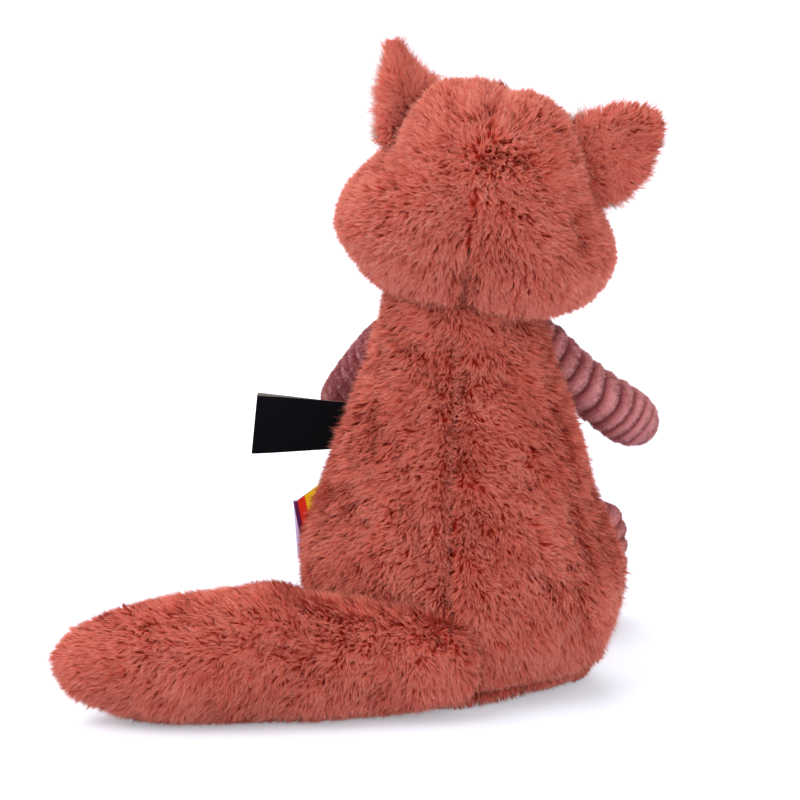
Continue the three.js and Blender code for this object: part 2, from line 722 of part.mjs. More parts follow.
// Tail: a thick fur bolster that lies on the floor, gathered to a ball at its root
function tailPieces() {
  const rings = tailShares.map(([along, thick, back, low]) => {
    const halfHeight = (thick * TAIL_HEIGHT) / 2;
    const bottom = low * TAIL_HEIGHT - PRESSED_FLAT - TAIL_ROOT_HEIGHT;
    return {
      middle: vector(along * TAIL_LENGTH, back * TAIL_SWEEP, bottom + halfHeight),
      wide: vector(0, (thick * TAIL_DEPTH) / 2, 0),
      deep: vector(0, 0, halfHeight),
    };
  });
  const tip = rings.at(-1).middle.clone().setX(TAIL_LENGTH).setY(TAIL_SWEEP);
  const form = loft(rings, rings[0].middle, tip, TAIL_AROUND);
  const clearOfBody = (shape, gap) => shape.subtract(moved(grown(bodyForm, gap), tailFrame.clone().invert()));
  const floor = beyond('z', -TAIL_ROOT_HEIGHT, -1);
  const mouth = facing(vector(0, 0, 0), vector(0, -1, 0));
  const opening = moved(rod(TAIL_OPENING_RADIUS, -TAIL_ROOT_RADIUS / 2, TAIL_ROOT_RADIUS + OVERRUN), mouth);
  const core = rod(TAIL_OPENING_RADIUS - GAP, -TAIL_ROOT_RADIUS / 2, TAIL_ROOT_RADIUS);
  const plug = moved(core, mouth).intersect(ball(TAIL_ROOT_RADIUS));
  const whole = clearOfBody(solid(form), GAP).add(ball(TAIL_ROOT_RADIUS));
  const skin = cut(whole, clearOfBody(grown(form, -FUR), FUR + GAP), opening, floor);
  const filling = clearOfBody(grown(form, -FUR - GAP), FUR + 2 * GAP).add(plug);
  const pieces = group(
    piece('tail', skin, coralFur),
    piece('tail_stuffing', cut(filling, beyond('z', FUR + GAP - TAIL_ROOT_HEIGHT, -1)), polyester),
  );
  pieces.applyMatrix4(tailFrame);
  return pieces;
}

// A strip of ribbon folded into a loop, with its round root along the body's side seam
function ribbonLoop({ height, tall, reach, thickness, flareShare }) {
  const radius = thickness / 2;
  const loop = new THREE.Shape();
  loop.absarc(0, 0, radius, Math.PI / 2, (3 * Math.PI) / 2, false);
  loop.absarc(reach, 0, radius, (3 * Math.PI) / 2, (5 * Math.PI) / 2, false);
  const inside = new THREE.Path();
  inside.absarc(0, 0, radius - RIBBON, Math.PI / 2, (3 * Math.PI) / 2, false);
  inside.absarc(reach, 0, radius - RIBBON, (3 * Math.PI) / 2, (5 * Math.PI) / 2, false);
  loop.holes.push(inside);
  const geometry = new THREE.ExtrudeGeometry(loop, { depth: tall, bevelEnabled: false, curveSegments: 6 });
  geometry.translate(0, 0, -tall / 2);
  const slope = Math.tan(bodyLean(height));
  const { position } = geometry.attributes;
  for (let index = 0; index < position.count; index += 1) {
    const place = position.getX(index);
    const kept = THREE.MathUtils.lerp(1, flareShare, place / reach);
    position.setX(index, place - slope * kept * position.getZ(index));
  }
  const out = bodyHalfWidth(height) + radius + TRIM_CLEARANCE;
  return solid(geometry.translate(out, SIDE_SEAM_Y, height));
}

// Trim: the care label and the ribbon tag in the left side seam
function trimPieces() {
  return group(
    piece('care_label', ribbonLoop(CARE_LABEL), blackSatin),
    piece('ribbon_tag', ribbonLoop(RIBBON_TAG), stripedRibbon),
  );
}

const raccoon = group(
  bodyPieces(),
  neckPieces(),
  headPieces(),
  armPieces('left', ARM_LEFT),
  armPieces('right', ARM_RIGHT),
  legPieces('left', 1),
  legPieces('right', -1),
  tailPieces(),
  trimPieces(),
);
raccoon.name = 'plush_raccoon';

export default raccoon;
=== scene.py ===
"""A seated plush raccoon: fur, corduroy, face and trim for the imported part.

Shapes are worked out in millimetres, in the frame of the CAD, and stored in metres.
+Z is up, the face looks along -Y and the toy's own left is +X.
"""

import math

import bpy
import numpy as np
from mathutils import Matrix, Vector

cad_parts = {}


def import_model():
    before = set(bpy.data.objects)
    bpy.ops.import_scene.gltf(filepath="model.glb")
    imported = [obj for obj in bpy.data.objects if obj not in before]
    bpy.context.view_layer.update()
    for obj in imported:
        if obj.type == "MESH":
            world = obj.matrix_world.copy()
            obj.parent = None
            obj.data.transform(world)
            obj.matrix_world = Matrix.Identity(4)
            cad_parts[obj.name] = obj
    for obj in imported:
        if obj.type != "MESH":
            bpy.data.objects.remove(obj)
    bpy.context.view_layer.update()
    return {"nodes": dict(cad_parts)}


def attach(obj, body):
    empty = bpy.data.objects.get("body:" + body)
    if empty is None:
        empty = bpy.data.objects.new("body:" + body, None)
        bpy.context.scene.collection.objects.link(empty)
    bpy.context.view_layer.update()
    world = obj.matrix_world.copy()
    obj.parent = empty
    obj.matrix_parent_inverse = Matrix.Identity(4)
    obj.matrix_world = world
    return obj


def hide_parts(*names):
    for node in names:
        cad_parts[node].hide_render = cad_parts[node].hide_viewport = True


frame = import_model()

MM = 0.001
FINE = 1.0

# Camera, matched to the photograph
VIEW_AZIMUTH = 185
VIEW_ELEVATION = 12
VIEW_DISTANCE = 1200
VIEW_TARGET = (25, 0, 116)
FOCAL_PIXELS = 2976
IMAGE_PIXELS = 800
SENSOR = 36

# Body
BODY_HEIGHT = 154
BODY_WIDTH = 124
BODY_DEPTH = 100
BODY_BOTTOM = -0.5
BODY_TOP_CUT = 148
SIDE_SEAM_Y = -4
SEAT_PANEL_HEIGHT = 8
SQUARENESS = 2.2
body_shares = [
    (0.0, 0.73, 0.84), (0.035, 0.84, 0.925), (0.11, 0.915, 0.97), (0.21, 0.985, 1.0), (0.3, 1.0, 1.0),
    (0.39, 0.975, 0.97), (0.51, 0.875, 0.9), (0.64, 0.775, 0.8), (0.77, 0.665, 0.7),
    (0.89, 0.567, 0.61), (1.0, 0.5, 0.54),
]
# How far the body sways to its left at some heights, and how far its right rear corner is tucked in
SWAY = ((0, 20, 40, 60, 85, 110, 140), (0, 0, 0.3, 1.4, 1.5, 0.4, 0))
TUCK_IN = 11
TUCK_UP = 2.5
FOLD_SHARE = 0.08
HIP_BULGE = 3
SEAM_VALLEY = 1.6

# Neck and head, which is in its own frame about its middle
NECK_HEIGHT = 150
# Height, half width and half depth of the cuff of fur round the neck
neck_rings = [
    (140, 26.0, 23.0), (146, 31.0, 27.0), (152, 30.0, 26.5), (160, 28.5, 25.0), (167, 25.0, 22.0),
]
HEAD_ABOVE_NECK = 53
HEAD_BELOW = 46
HEAD_HEIGHT = 87.5
HEAD_WIDTH = 111
HEAD_DEPTH = 88
HEAD_LEAN = -9
HEAD_OPEN_BELOW = 1.5
SLIT_DEPTH = 5.5
WHORL_DEPTH = 0.8
HEAD_TRIM = 1.5
FACE_SEAM_Y = -12
# How far the crown is pressed in across the head
CROWN_PRESS = (
    (-40, -26, -20, -12, -6, -2, 3, 8, 14, 19, 24, 32),
    (0, 1.2, 2.0, 2.6, 4.8, 4.6, 2.2, 1.3, 1.8, 0.5, -0.6, 0),
)
head_shares = [
    (0.0, 0.3, 0.36), (0.03, 0.58, 0.55), (0.11, 0.84, 0.76), (0.2, 0.95, 0.87), (0.3, 1.0, 0.94),
    (0.39, 0.975, 0.98), (0.5, 0.88, 1.0), (0.63, 0.745, 0.97), (0.76, 0.64, 0.88),
    (0.87, 0.53, 0.73), (0.95, 0.39, 0.52), (0.985, 0.24, 0.3), (1.0, 0.03, 0.04),
]
MUZZLE_WIDTH = 40
MUZZLE_HEIGHT = 29
MUZZLE_LENGTH = 44
MUZZLE_REACH = 62
MUZZLE_DROP = 17
NOSE_WIDTH = 14
NOSE_HEIGHT = 9.5
NOSE_DEPTH = 5.5
NOSE_LIFT = 3
EYE_RADIUS = 5.2
EYE_HEIGHT = 3.4
EYE_ACROSS = 18
EYE_UP = 4
PATCH_LENGTH = 34
PATCH_WIDTH = 21
PATCH_TILT = -24
PATCH_SHIFT = 6
PATCH_DROP = 2
FELT = 1.4

# Ears
EAR_BASE = 34
EAR_LENGTH = 33
EAR_THICKNESS = 10
EAR_SQUARENESS = 2.4
ear_shares = [
    (0.0, 1.0, 0.9), (0.22, 1.02, 1.0), (0.45, 0.98, 1.0), (0.65, 0.84, 0.95), (0.82, 0.6, 0.85),
    (0.94, 0.33, 0.65), (1.0, 0.04, 0.08),
]
# Where each ear is sewn on and how it is turned, how its outline leans, bends and narrows towards
# the tip, its scale once sewn, and how far its pile is laid over at the tip
EARS = {
    "left": dict(
        side=1, across=32.5, up=24, tilt=38, turn=40, least_run=0.12,
        lean=16.1, bend=1.33, pinch=0.93, shift=0.7, sewn=(1, 1, 0.8),
    ),
    "right": dict(
        side=-1, across=35, up=19, tilt=25, turn=6, least_run=0.5,
        lean=8.9, bend=2.14, pinch=0.07, shift=3.5, sewn=(0.97, 1, 1.02),
    ),
}

# Arms
SHOULDER_HEIGHT = 134
ARM_LENGTH = 63
ARM_RADIUS = 10
# Where each arm points, how slim its cloth is drawn at places along it, its path as a share of the
# length, a lift and a height, the pitch of its ribs, how light its nap is, kept low on the left arm as
# painted shade, and how much lighter it grows towards the hand, which is painted shade near the shoulder
ARM_SLIM_SHARES = (0, 0.2, 0.55, 1)
ARMS = {
    "left": dict(
        side=1, out=9, forward=54, slim=(0.9, 0.85, 0.94, 0.9), pitch=9, tone_and_shade=0.12, painted_shade_fade=0.33,
        path=((-0.09, -4.2, 7.5), (0.4, -2.3, 4), (0.91, -0.4, -5.4)),
    ),
    "right": dict(
        side=-1, out=25, forward=26, slim=(0.9, 0.89, 0.95, 0.92), pitch=7.9, tone_and_shade=0.5, painted_shade_fade=0.5,
        path=((-0.09, -5, 11), (0.4, -1.8, 3), (0.95, 2.8, 2.8)),
    ),
}
HAND_SHARE = 0.7
arm_shares = [
    (0.02, 0.45), (0.07, 0.8), (0.15, 1.0), (0.32, 1.0), (0.5, 1.0), (0.66, 1.05), (0.8, 1.16),
    (0.9, 1.0), (0.965, 0.68), (1.0, 0.05),
]

# Legs
HIP_ACROSS = 32
HIP_FORWARD = 42
HIP_HEIGHT = 17
LEG_SPREAD = 18.3
LEG_REACH = 60
LEG_RADIUS = 14
HIP_HOLE = 9.5
FOOT_HEIGHT = 51.5
FOOT_SEAM_SHARE = 0.74
leg_shares = [
    (0.02, 0.5), (0.07, 0.86), (0.16, 1.0), (0.32, 1.0), (0.46, 1.0), (0.58, 1.02), (0.68, 1.04),
    (0.79, 1.02), (0.89, 0.95), (0.96, 0.66), (1.0, 0.05),
]
leg_path_shares = [(-0.1, 0.0), (0.35, 0.0), (0.75, 0.02), (0.96, 0.22), (1.0, 0.6), (0.97, 1.0)]

# Tail
TAIL_ROOT_Y = 50
TAIL_LENGTH = 153
TAIL_SWEEP = 20
TAIL_HEIGHT = 51
TAIL_DEPTH = 46
TAIL_ROOT_CAP = 9
TAIL_FAN = (2, 50, 50)
TAIL_HUMP = 3.2
TAIL_TIP_SWELL = 2
tail_shares = [
    (0.0, 0.6, 0.0, 0.16), (0.1, 0.8, 0.0, 0.07), (0.22, 0.88, 0.12, 0.03), (0.37, 0.94, 0.32, 0.0),
    (0.52, 1.0, 0.5, 0.0), (0.66, 0.97, 0.66, 0.0), (0.78, 0.87, 0.8, 0.04), (0.88, 0.68, 0.9, 0.14),
    (0.96, 0.38, 0.97, 0.29), (1.0, 0.04, 1.0, 0.47),
]

# Care label and ribbon tag in the left side seam
CARE_LABEL = dict(height=104, tall=24, reach=37, thickness=1.8, flare=0.3)
RIBBON_TAG = dict(height=66, tall=25, reach=8, thickness=3, flare=0)
TRIM_CLEARANCE = 0.15

# Pile: how deep its roots lie and how far its tips rise, in mm from the surface of the CAD, how far the
# comb lays it over, its width, the tufts that it forms, and how much they differ in shade
FUR = dict(
    depth=2.6, rise=3.0, run=1.75, width=0.27, strands_per_tuft=6,
    clump=0.36, swirl=0.36, fuzz=0.3, wisp=0.5, mottle=0.1,
)
SHORT_FUR = dict(
    depth=1.2, rise=1.6, run=1.8, width=0.3, strands_per_tuft=6,
    clump=0.35, swirl=0.35, fuzz=0.25, wisp=0.4, mottle=0.1,
)
HEAD_FUR = dict(FUR, run=2.0, strands_per_tuft=8, clump=0.52, swirl=0.46, mottle=0.15)
FACE_FUR = dict(FUR, rise=2.8, run=3.6)
NECK_FUR = dict(FUR, rise=3.6, run=2.6)
TAIL_FUR = dict(FUR, run=3.0, clump=0.26)
SEAT_FUR = dict(FUR, run=0.7, rise=1.5, fuzz=0.1, wisp=0.2)
UNDER_FUR = dict(SHORT_FUR, depth=0.1, rise=0.2, run=3)
PATCH_FUR = dict(SHORT_FUR, depth=0.2, rise=1.7, run=2.0)
EAR_FUR = dict(FUR, depth=1.4, run=3.6)
EAR_PILES = {
    "back": dict(
        EAR_FUR, rise=2.5, strands_per_tuft=12,
        clump=0.66, swirl=0.56, fuzz=0.33, wisp=1.6, mottle=0.22,
    ),
    "lining": dict(EAR_FUR, rise=1.6, clump=0.5, swirl=0.45, fuzz=0.6, wisp=1.5),
}
STRANDS = dict(
    body_back=74000, seat=20000, under=12000, neck=34000, head_back=68000, face=56000, muzzle=24000,
    eye_patch=9000, ear_back=15500, ear_lining=19000, tail_back=78000, tail_front=28000,
)
FIBRES = dict(belly=90000, arm=50000, leg=50000, foot=60000)
SKIN_DEPTH = 1.7
SKIN_THICKNESS = 1.2
CORDUROY = 1.2
RIB_PITCH = 6.6
HAND_RIB_PITCH = 5.2
RIB_DEPTH = 3.1
BELLY_RIB_DEPTH = 1.7
NAP_LENGTH = 1.35
NAP_WIDTH = 0.24


# Vectors, turns and tables
def unit(v):
    return v / np.maximum(np.linalg.norm(v, axis=-1, keepdims=True), 1e-12)


def bulge(value, squareness=2.0):
    return np.sign(value) * np.abs(value) ** (2 / squareness)


def hill(value, middle, width):
    """1 at a middle, and falling to nothing over about twice the width."""
    return np.exp(-(((value - middle) / width) ** 2))


def over(value, start, reach):
    """0 up to a start, and 1 from a reach past it."""
    return np.clip((value - start) / reach, 0, 1)


def smooth_table(shares, count=400):
    """The rows of a table joined by a smooth curve that doesn't overshoot, with even steps along it."""
    table = np.array(shares, float)
    step = np.linalg.norm(np.diff(table, axis=0), axis=1)
    place = np.concatenate([[0], np.cumsum(step)])
    slope = np.diff(table, axis=0) / step[:, None]
    tangent = np.zeros_like(table)
    before, after = slope[:-1], slope[1:]
    same_way = before * after > 0
    tangent[1:-1] = np.where(same_way, 2 * before * after / np.where(same_way, before + after, 1), 0)
    tangent[0], tangent[-1] = slope[0], slope[-1]
    at = np.linspace(0, place[-1], count)
    row = np.clip(np.searchsorted(place, at, side="right") - 1, 0, len(step) - 1)
    t = ((at - place[row]) / step[row])[:, None]
    width = step[row][:, None]
    return (
        (1 + 2 * t) * (1 - t) ** 2 * table[row]
        + t * (1 - t) ** 2 * width * tangent[row]
        + t * t * (3 - 2 * t) * table[row + 1]
        + t * t * (t - 1) * width * tangent[row + 1]
    )


def turn_matrix(axis, degrees):
    """Rotation about X, Y or Z."""
    angle = math.radians(degrees)
    first, second = [(1, 2), (2, 0), (0, 1)]["XYZ".index(axis)]
    matrix = np.eye(3)
    matrix[first, first] = matrix[second, second] = math.cos(angle)
    matrix[first, second] = -math.sin(angle)
    matrix[second, first] = math.sin(angle)
    return matrix


def axis_frame(x, y, z, place):
    """A frame from three axes and a place: (matrix with the axes as columns, place)."""
    return np.column_stack([x, y, z]), np.array(place, float)


def place_in(frame_of, points):
    matrix, place = frame_of
    return points @ matrix.T + place


def seen_from(frame_of, points):
    matrix, place = frame_of
    return (points - place) @ matrix


def ripple(points, seed, wavelength, count=6):
    """Smooth noise of about one, from waves in random directions."""
    rng = np.random.default_rng(seed)
    rate = 2 * math.pi / wavelength
    ways = unit(rng.normal(size=(count, 3))) * rate * rng.uniform(0.6, 1.5, (count, 1))
    phases = rng.uniform(0, 2 * math.pi, count)
    return np.sin(points @ ways.T + phases).sum(-1) * math.sqrt(2 / count)


# Grids: points in rows and columns, with the outward normals
def grid_normals(points, closed):
    along = np.gradient(points, axis=0)
    if closed:
        around = np.roll(points, -1, axis=1) - np.roll(points, 1, axis=1)
    else:
        around = np.gradient(points, axis=1)
    return unit(np.cross(around, along))


def upright_grid(form, low, high, from_angle, to_angle, rows, columns):
    """Part of an upright form, between two heights and between two functions from half depth to angle."""
    shares, (bottom, height, width, depth) = form
    table = smooth_table(shares, 1500)
    turn = np.linspace(0, math.pi, rows)
    z = (low + high) / 2 - (high - low) / 2 * np.cos(turn)
    share = (z - bottom) / height
    wide = np.interp(share, table[:, 0], table[:, 1]) * width / 2
    deep = np.interp(share, table[:, 0], table[:, 2]) * depth / 2
    start, end = from_angle(deep), to_angle(deep)
    angle = start[:, None] + (end - start)[:, None] * np.linspace(0, 1, columns)
    x = wide[:, None] * bulge(np.cos(angle), SQUARENESS)
    y = deep[:, None] * bulge(np.sin(angle), SQUARENESS)
    return np.stack([x, y, np.broadcast_to(z[:, None], x.shape)], -1)


def seam_angles(seam_y):
    """Angles of the left and right side seam, and of the left one a turn on, from the half depth."""

    def left(deep):
        return -np.arcsin(np.clip(-seam_y / deep, 0, 1) ** (SQUARENESS / 2))

    return left, lambda deep: math.pi - left(deep), lambda deep: 2 * math.pi + left(deep)


def at_angle(angle):
    return lambda deep: angle + 0 * deep


def catmull(points, count):
    """A smooth curve through points, as places and directions with even steps along it."""
    p = np.array(points, float)
    p = np.vstack([2 * p[0] - p[1], p, 2 * p[-1] - p[-2]])
    line = []
    for i in range(1, len(p) - 2):
        p0, p1, p2, p3 = p[i - 1 : i + 3]
        d0, d1, d2 = (np.linalg.norm(b - a) ** 0.5 for a, b in ((p0, p1), (p1, p2), (p2, p3)))
        m1 = ((p1 - p0) / d0 - (p2 - p0) / (d0 + d1) + (p2 - p1) / d1) * d1
        m2 = ((p2 - p1) / d1 - (p3 - p1) / (d1 + d2) + (p3 - p2) / d2) * d1
        t = np.linspace(0, 1, 60, endpoint=False)[:, None]
        line.append(
            (2 * t**3 - 3 * t**2 + 1) * p1
            + (t**3 - 2 * t**2 + t) * m1
            + (3 * t**2 - 2 * t**3) * p2
            + (t**3 - t**2) * m2
        )
    line = np.vstack([*line, p[-2:-1]])
    place = np.concatenate([[0], np.cumsum(np.linalg.norm(np.diff(line, axis=0), axis=1))])
    at = np.linspace(0, place[-1], count)
    even = np.column_stack([np.interp(at, place, line[:, k]) for k in range(3)])
    return even, unit(np.gradient(even, axis=0)), place[-1]


# Meshes
class Parts:
    """Points, faces, bake places and normals that become one mesh."""

    def __init__(self):
        self.points, self.normals, self.faces, self.places, self.slots = [], [], [], [], []
        self.count = 0

    def add(self, points, normals, groups, slot=0):
        """Each group is faces, (number, corners) indices, with their places, (number, corners, 2)."""
        self.points.append(points.reshape(-1, 3))
        self.normals.append(normals.reshape(-1, 3))
        for faces, places in groups:
            self.faces.append(faces + self.count)
            self.places.append(places)
            self.slots.append(np.full(len(faces), slot))
        self.count += len(self.points[-1])

    def mesh(self, name, materials, floor=True):
        points = np.vstack(self.points)
        if floor:
            points[:, 2] = np.maximum(points[:, 2], 0.05)
        corners = np.concatenate([f.ravel() for f in self.faces])
        totals = np.concatenate([np.full(len(f), f.shape[1]) for f in self.faces])
        starts = np.concatenate([[0], np.cumsum(totals)[:-1]])
        me = bpy.data.meshes.new(name)
        me.vertices.add(len(points))
        me.vertices.foreach_set("co", (points * MM).astype(np.float32).ravel())
        me.loops.add(len(corners))
        me.loops.foreach_set("vertex_index", corners.astype(np.int32))
        me.polygons.add(len(totals))
        me.polygons.foreach_set("loop_start", starts.astype(np.int32))
        me.polygons.foreach_set("material_index", np.concatenate(self.slots).astype(np.int32))
        me.update(calc_edges=True)
        me.shade_smooth()
        layer = me.uv_layers.new(name="OFBake")
        uv = np.concatenate([p.reshape(-1, 2) for p in self.places])
        layer.uv.foreach_set("vector", uv.astype(np.float32).ravel())
        me.normals_split_custom_set_from_vertices(unit(np.vstack(self.normals)).tolist())
        for material in materials:
            me.materials.append(material)
        obj = bpy.data.objects.new(name, me)
        bpy.context.scene.collection.objects.link(obj)
        return obj


def patch_places(face_count, along):
    """Bake places of faces that all take one small patch of the map."""
    square = np.array([[0, 0], [1, 0], [1, 1], [0, 1]]) * 0.02 + [0.5, along]
    return np.broadcast_to(square, (face_count, 4, 2))


def add_shell(parts, points, thickness, closed=False, kept=None, places=None, along=0.02):
    """A skin of some thickness behind a grid. kept says which cells are there."""
    normals = grid_normals(points, closed)
    rows, columns = points.shape[:2]
    cells = columns if closed else columns - 1
    if kept is None:
        kept = np.ones((rows - 1, cells), bool)
    r, c = np.indices((rows - 1, cells))
    after = (c + 1) % columns
    a, b = r * columns + c, r * columns + after
    d, e = a + columns, b + columns
    back = rows * columns
    none = np.zeros((1, cells), bool)
    below = kept & ~np.vstack([none, kept[:-1]])
    above = kept & ~np.vstack([kept[1:], none])
    if closed:
        left, right = kept & ~np.roll(kept, 1, axis=1), kept & ~np.roll(kept, -1, axis=1)
    else:
        side = np.zeros((rows - 1, 1), bool)
        left, right = kept & ~np.hstack([side, kept[:, :-1]]), kept & ~np.hstack([kept[:, 1:], side])
    front = np.stack([a, b, e, d], -1)
    faces = np.vstack([
        front[kept],
        np.stack([a, d, e, b], -1)[kept] + back,
        np.stack([b, a, a + back, b + back], -1)[below],
        np.stack([d, e, e + back, d + back], -1)[above],
        np.stack([a, d, d + back, a + back], -1)[left],
        np.stack([e, b, b + back, e + back], -1)[right],
    ])
    everything = np.concatenate([points, points - normals * thickness])
    normals = np.concatenate([normals, -normals])
    used, renumbered = np.unique(faces, return_inverse=True)
    # Without places, the shell takes one colour at along, by default the dark root end: painted shade under
    # the pile.
    uv = patch_places(len(faces), along).copy()
    if places is not None:
        uv[: kept.sum()] = places.reshape(-1, 2)[front[kept]]
    group = (renumbered.reshape(faces.shape), uv)
    parts.add(everything.reshape(-1, 3)[used], normals.reshape(-1, 3)[used], [group])


def add_skin(parts, grid, depth, closed=False, along=0.02):
    """The cloth that a pile is fixed in, at a depth under the grid."""
    # Coloured at along, by default the dark root end: painted shade in the gaps between tufts.
    add_shell(parts, grid - grid_normals(grid, closed) * depth, SKIN_THICKNESS, closed, along=along)


def cell_areas(points):
    one, two = points[1:, :-1] - points[:-1, :-1], points[:-1, 1:] - points[:-1, :-1]
    return np.linalg.norm(np.cross(one, two), axis=-1)


# Steps that spread a row of points evenly over a square
EVEN_STEPS = (0.7548776662466927, 0.5698402909980532)


def scatter(points, normals, count, rng, closed=False, value=None):
    """About count places spread evenly over a grid, with their normals and a value of the grid."""
    value = np.zeros(points.shape[:2]) if value is None else value
    if closed:
        points = np.concatenate([points, points[:, :1]], axis=1)
        normals = np.concatenate([normals, normals[:, :1]], axis=1)
        value = np.concatenate([value, value[:, :1]], axis=1)
    area = cell_areas(points)
    tries = int(count * area.size * area.max() / area.sum())
    index = np.arange(tries)
    across, up = ((0.5 + index * step) % 1 for step in EVEN_STEPS)
    place_row, place_column = up * area.shape[0], across * area.shape[1]
    row, column = place_row.astype(int), place_column.astype(int)
    chosen = rng.random(tries) * area.max() < area[row, column]
    row, column = row[chosen], column[chosen]
    u, v = (place_row[chosen] - row)[:, None], (place_column[chosen] - column)[:, None]

    def between(values):
        low = values[row, column] * (1 - v) + values[row, column + 1] * v
        high = values[row + 1, column] * (1 - v) + values[row + 1, column + 1] * v
        return low * (1 - u) + high * u

    return between(points), unit(between(normals)), between(value[..., None])


STRAND_STEPS = np.array([0.0, 0.55, 1.0])
STRAND_WIDTHS = np.array([1.0, 0.85, 0.0])


def add_fur(
    parts, points, count, comb, pile, rng,
    closed=False, drop=None, slot=0, rise_of=None, run_of=None, mess_of=None,
):
    """Strands in tufts over a grid. comb gives the way that the pile lies at places with normals."""
    normals = grid_normals(points, closed)
    per_tuft = pile["strands_per_tuft"]
    middle, up, _ = scatter(points, normals, int(count * FINE / per_tuft), rng, closed)
    spread = 0.5 * math.sqrt(cell_areas(points).sum() / max(len(middle), 1))
    if drop is not None:
        keep = ~drop(middle, up)
        middle, up = middle[keep], up[keep]
    tufts = len(middle)

    def noise(seed, wavelength):
        return ripple(middle, seed, wavelength)[:, None]

    way = comb(middle, up)
    way = unit(way - (way * up).sum(-1, keepdims=True) * up)
    side = np.cross(way, up)
    rough = 1 + 0.35 * np.clip(noise(8, 34), -1.1, 1.1)
    swirl = rng.normal(0, pile["swirl"], (tufts, 1)) * rough
    swirl += 0.3 * noise(5, 26) + 0.25 * noise(16, 9)
    if mess_of is not None:
        swirl *= 1 + mess_of(middle)[:, None]
    way, side = way * np.cos(swirl) + side * np.sin(swirl), side * np.cos(swirl) - way * np.sin(swirl)
    lie = np.clip(1 + rng.normal(0, 0.2, (tufts, 1)) + 0.16 * noise(7, 7), 0.4, 1.7)
    rise = pile["rise"] * rng.normal(1, 0.1, (tufts, 1)) / lie**0.5
    run = pile["run"] * rng.normal(1, 0.15, (tufts, 1)) * lie
    if rise_of is not None:
        rise = rise * rise_of(middle)[:, None]
    if run_of is not None:
        run = run * run_of(middle)[:, None]
    shade = 0.5 + pile["mottle"] * rng.normal(size=(tufts, 1))
    shade += 0.07 * noise(11, 30) + 0.07 * noise(12, 8)
    tip = middle + way * run + up * rise
    curl = side * run * (rng.normal(0, 0.4, (tufts, 1)) + 0.25 * noise(9, 12))

    # From here on, each value is a strand's own
    of_tuft = (middle, up, way, side, rise, run, rough, shade, tip, curl)
    of_strand = (np.repeat(values, per_tuft, axis=0) for values in of_tuft)
    middle, up, way, side, rise, run, rough, shade, tip, curl = of_strand
    total = len(middle)
    fuzz = rng.random((total, 1)) < pile["fuzz"]
    off = rng.normal(0, spread * 0.6, (total, 2))
    aside = off[:, :1] * way + off[:, 1:] * side
    length = rng.normal(1, 0.13, (total, 1)) + fuzz * rng.uniform(0, pile["wisp"], (total, 1))
    base = middle + aside
    root = base - up * pile["depth"]
    own_tip = base + way * run * length + up * rise * length
    own_tip += rng.normal(0, 0.3, (total, 3)) * (1 + 1.5 * fuzz)
    clump = rough * pile["clump"] * rng.uniform(0.5, 1.2, (total, 1)) * (1 - 0.8 * fuzz)
    end = own_tip * (1 - clump) + (tip + 0.2 * aside) * clump
    bend = root + up * (pile["depth"] + rise) * 0.72 + way * run * 0.15 + 0.2 * aside + curl
    t = STRAND_STEPS[:, None, None]
    line = (1 - t) ** 2 * root + 2 * t * (1 - t) * bend + t * t * end
    heading = unit(np.gradient(line, axis=0))
    flat = unit(np.cross(heading, up))
    roll = rng.normal(0, 0.6, (total, 1))
    flat = flat * np.cos(roll) + np.cross(heading, flat) * np.sin(roll)
    width = pile["width"] * rng.uniform(0.65, 1.3, (total, 1)) * (1 - 0.45 * fuzz)
    half = 0.5 * width * STRAND_WIDTHS[:, None, None] / FINE**0.5
    left, right = line - flat * half, line + flat * half
    face_way = np.cross(flat, heading)
    face_way *= np.sign((face_way * up).sum(-1, keepdims=True))
    around = unit(unit(up + 0.3 * aside / spread - 0.1 * way) + 0.4 * face_way)
    verts = np.stack([left[0], right[0], left[1], right[1], line[2]], 1)
    bent = np.stack([around[0], around[0], around[1], around[1], around[2]], 1)
    first = np.arange(total)[:, None] * 5
    # The loose wisps are paler, partly as painted light on fibres lit at the edges.
    hue = np.clip(shade + rng.normal(0, 0.14, (total, 1)) + 0.2 * fuzz, 0.03, 0.95)
    edge = np.array([0, 0.02])
    # Along each strand from root to tip, so the ramps darken the roots as painted shade.
    v = 0.04 + 0.94 * STRAND_STEPS

    def places(corner_sides, corner_steps):
        u = hue + edge[corner_sides]
        return np.stack([u, np.broadcast_to(v[corner_steps], u.shape)], -1)

    quads = (first + [0, 1, 3, 2], places([0, 1, 1, 0], [0, 0, 1, 1]))
    tips = (first + [2, 3, 4], places([0, 1, 0], [1, 1, 2]))
    parts.add(verts, bent, [quads, tips], slot)


